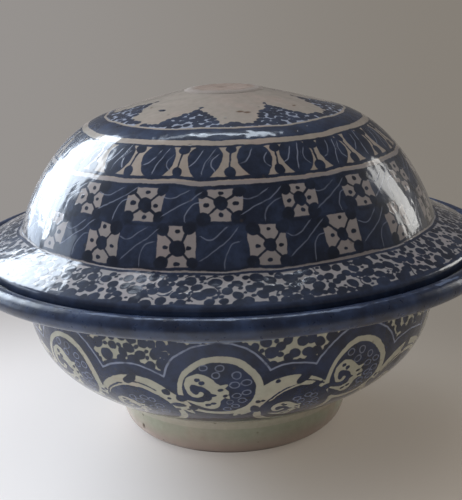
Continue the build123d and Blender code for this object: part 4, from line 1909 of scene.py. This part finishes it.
@dataclass
class Studio:
    """The pale floor with its painted light and shadow, the window and the other light, and the camera."""

    floor: Tone = (224, 219, 216)
    # The lighter front and right tones of the floor are painted light; the greyer tone behind is the backdrop's tone
    # and, to the right, painted shade.
    floor_front_painted_light: Tone = (250, 248, 247)
    floor_right_painted_light: Tone = (242, 230, 214)
    floor_behind: Tone = (150, 145, 141)
    floor_reach: float = 30.0
    floor_roughness: float = 0.9
    # The backdrop is lighter on the left and darker on the right as painted light and shade; the near tones paint the
    # window's light on the left and the bowl's shadow on the right.
    backdrop_left: Tone = (150, 146, 143)
    backdrop_right: Tone = (133, 127, 119)
    near_left_painted_light: Tone = (246, 245, 249)
    near_right_painted_shadow: Tone = (146, 136, 124)
    near_share: float = 0.45
    surround: Tone = (141, 136, 131)
    surround_strength: float = 0.4
    panels: tuple[Panel, ...] = (
        Panel("window", -128.0, 24.0, (1.52, 1.72), 9.3, SKY),
        Panel("curtain", -132.0, 3.0, (1.35, 0.84), 3.6, HAZE),
        Panel("side_wall", -101.0, 7.0, (1.05, 0.95), 2.4, HAZE),
        Panel("right_wall", 115.5, 16.0, (0.68, 1.28), 4.2, ROOM),
        Panel("back_top", 176.0, 58.5, (0.95, 0.24), 7.2, SKY),
        Panel("back_top_side", 202.0, 57.0, (0.7, 0.2), 3.4, SKY),
    )
    centre: Triple = (0.0, 0.0, 0.12)
    sun: Pair = (-104.0, 44.0)
    sun_breadth: float = 120.0
    sun_strength: float = 2.2
    aim: Triple = (0.00128, 0.0, 0.12175)
    distance: float = 0.68278
    elevation: float = 16.112
    roll: float = 1.966
    lens: float = 68.4
    sensor: float = 36.0

    def build(self) -> None:
        """Sets up the floor, the light and the camera."""
        self.ground()
        self.world()
        for panel in self.panels:
            self.lamp(panel)
        self.daylight()
        self.camera()

    def ground(self) -> None:
        """A wide floor, pale round the bowl and greyer behind it, that is partly lit and partly a painted tone: painted
        light on the left and at the front, and a painted shadow of the bowl on the right.
        """
        material, w, place = started("ground_paper")
        across, depth, _ = w.node("ShaderNodeSeparateXYZ", {0: place}).outputs
        rightward = w.either(across, 0.0)
        # Painted light in the floor's colour: brighter at the front and lighter on the right, and greyer behind and to
        # the right, partly as painted shade.
        colour = w.blend(w.step(depth, -0.32, 0.05), tone(self.floor_front_painted_light), tone(self.floor))
        colour = w.blend(w.step(across, -0.1, 0.3), colour, tone(self.floor_right_painted_light))
        aslant = w.plus(depth, w.times(rightward, 0.6))
        colour = w.blend(w.step(aslant, 0.0, 0.34), colour, tone(self.floor_behind))
        paper = w.node("ShaderNodeBsdfPrincipled", {"Base Color": colour, "Roughness": self.floor_roughness})
        side = w.math("DIVIDE", across, w.plus(w.math("ABSOLUTE", depth), 0.7))
        # The backdrop tone, lighter to the left than to the right: painted light.
        far = w.blend(w.step(side, -0.26, 0.26), tone(self.backdrop_left), tone(self.backdrop_right))
        # Near the bowl the tone is painted light on the left and a painted shadow on the right.
        near = w.blend(w.step(across, -0.14, 0.05), tone(self.near_left_painted_light), tone(self.near_right_painted_shadow))
        behind = w.step(w.plus(depth, rightward), -0.05, 0.4)
        beyond = w.either(behind, w.step(w.long(place), 0.35, 0.95))
        painted_light_tone = w.node("ShaderNodeEmission", {"Color": w.blend(beyond, near, far), "Strength": 1.0})
        share = w.times(w.seen(), w.plus(self.near_share, w.times(beyond, 1 - self.near_share)))
        shader = w.node("ShaderNodeMixShader", {0: share, 1: paper.outputs[0], 2: painted_light_tone.outputs[0]})
        w.node("ShaderNodeOutputMaterial", {"Surface": shader.outputs[0]})
        mesh = bpy.data.meshes.new("ground")
        corners = [(x * self.floor_reach, y * self.floor_reach, 0) for x, y in ((-1, -1), (1, -1), (1, 1), (-1, 1))]
        mesh.from_pydata(corners, [], [(0, 1, 2, 3)])
        mesh.materials.append(material)
        sheet = bpy.data.objects.new("ground", mesh)
        bpy.context.scene.collection.objects.link(sheet)

    def world(self) -> None:
        """A plain surround that shows in the camera at its own tone and is dimmer to every other ray."""
        world = bpy.data.worlds.new("surround")
        bpy.context.scene.world = world
        world.use_nodes = True
        world.node_tree.nodes.clear()
        w = Wiring(world.node_tree)
        seen = w.node("ShaderNodeLightPath").outputs["Is Camera Ray"]
        strength = w.plus(self.surround_strength, w.times(seen, 1 - self.surround_strength))
        light = w.node("ShaderNodeBackground", {"Color": tone(self.surround), "Strength": strength})
        w.node("ShaderNodeOutputWorld", {"Surface": light.outputs[0]})

    @staticmethod
    def aimed(data: bpy.types.Light, turn: float, elevation: float) -> tuple[Piece, Vector]:
        """Puts up a lamp that faces the bowl.

        Args:
            data: The lamp's own settings.
            turn: Its direction from the bowl, in degrees from the front towards +X.
            elevation: Its direction above the floor, in degrees.

        Returns:
            The lamp and the way to it from the bowl.
        """
        a, e = math.radians(turn), math.radians(elevation)
        way = Vector((math.sin(a) * math.cos(e), -math.cos(a) * math.cos(e), math.sin(e)))
        lamp = bpy.data.objects.new(data.name, data)
        lamp.rotation_mode = "QUATERNION"
        lamp.rotation_quaternion = (-way).to_track_quat("-Z", "Y")
        bpy.context.scene.collection.objects.link(lamp)
        return lamp, way

    def lamp(self, panel: Panel) -> None:
        """Puts up a soft rectangular lamp that the camera doesn't see."""
        data = bpy.data.lights.new(panel.name, "AREA")
        data.shape = "RECTANGLE"
        data.size, data.size_y = panel.size
        data.color = panel.colour
        data.energy = panel.radiance * math.pi * panel.size[0] * panel.size[1]
        lamp, way = self.aimed(data, panel.turn, panel.elevation)
        lamp.location = Vector(self.centre) + way * panel.away
        lamp.visible_camera = False

    def daylight(self) -> None:
        """The room's even light, from above and behind on the left, unseen in reflections."""
        data = bpy.data.lights.new("daylight", "SUN")
        data.angle = math.radians(self.sun_breadth)
        data.energy = self.sun_strength
        lamp, _ = self.aimed(data, *self.sun)
        lamp.visible_glossy = False

    def camera(self) -> None:
        """The camera, a little above the rim and turned a little about its own line of sight."""
        data = bpy.data.cameras.new("camera")
        data.sensor_width, data.lens = self.sensor, self.lens
        camera = bpy.data.objects.new("camera", data)
        tilt = math.radians(self.elevation)
        back = Vector((0.0, -math.cos(tilt), math.sin(tilt)))
        camera.location = Vector(self.aim) + back * self.distance
        camera.rotation_mode = "QUATERNION"
        level = (-back).to_track_quat("-Z", "Y")
        camera.rotation_quaternion = level @ Quaternion((0.0, 0.0, 1.0), math.radians(-self.roll))
        bpy.context.scene.collection.objects.link(camera)
        bpy.context.scene.camera = camera
        bpy.context.scene.view_settings.view_transform = "Standard"


def stocked() -> Workshop:
    """Sets up the workshop with its wheel and all its finishes."""
    effects = Effects()
    lid = PaintedGlaze("lid_painted_glaze", wash_and_painted_light=(150, 163, 190))
    belly = PaintedGlaze(
        "bowl_painted_glaze",
        thin=(180, 177, 160),
        thick=(167, 165, 149),
        warm=(183, 168, 150),
        cobalt=(19, 30, 53),
        cobalt_thin=(36, 50, 82),
        coat=0.0,
    )
    bead = PaintedGlaze(
        "bead_worn_glaze", cobalt=(24, 34, 57), cobalt_thin=(46, 62, 94), wash_and_painted_light=(96, 110, 138), roughness=0.29
    )
    foot = PlainGlaze(
        "foot_cream_glaze", thin=(184, 178, 160), thick=(170, 175, 154), warm=(188, 160, 146), bare_below=0.0032
    )
    return Workshop(
        wheel=Wheel(),
        painted=lid.build(effects),
        belly=belly.build(effects),
        bead=bead.build(effects),
        cream=PlainGlaze("inside_cream_glaze").build(effects),
        foot=foot.build(effects),
        bare=BareClay("scarred_clay").build(),
    )


def main() -> None:
    """Builds the bowl, the lid and the studio, in that order."""
    logging.basicConfig(level=logging.INFO, format="%(message)s")
    shop = stocked()
    Bowl().build(shop)
    Lid().build(shop)
    Studio().build()


if __name__ == "__main__":
    main()
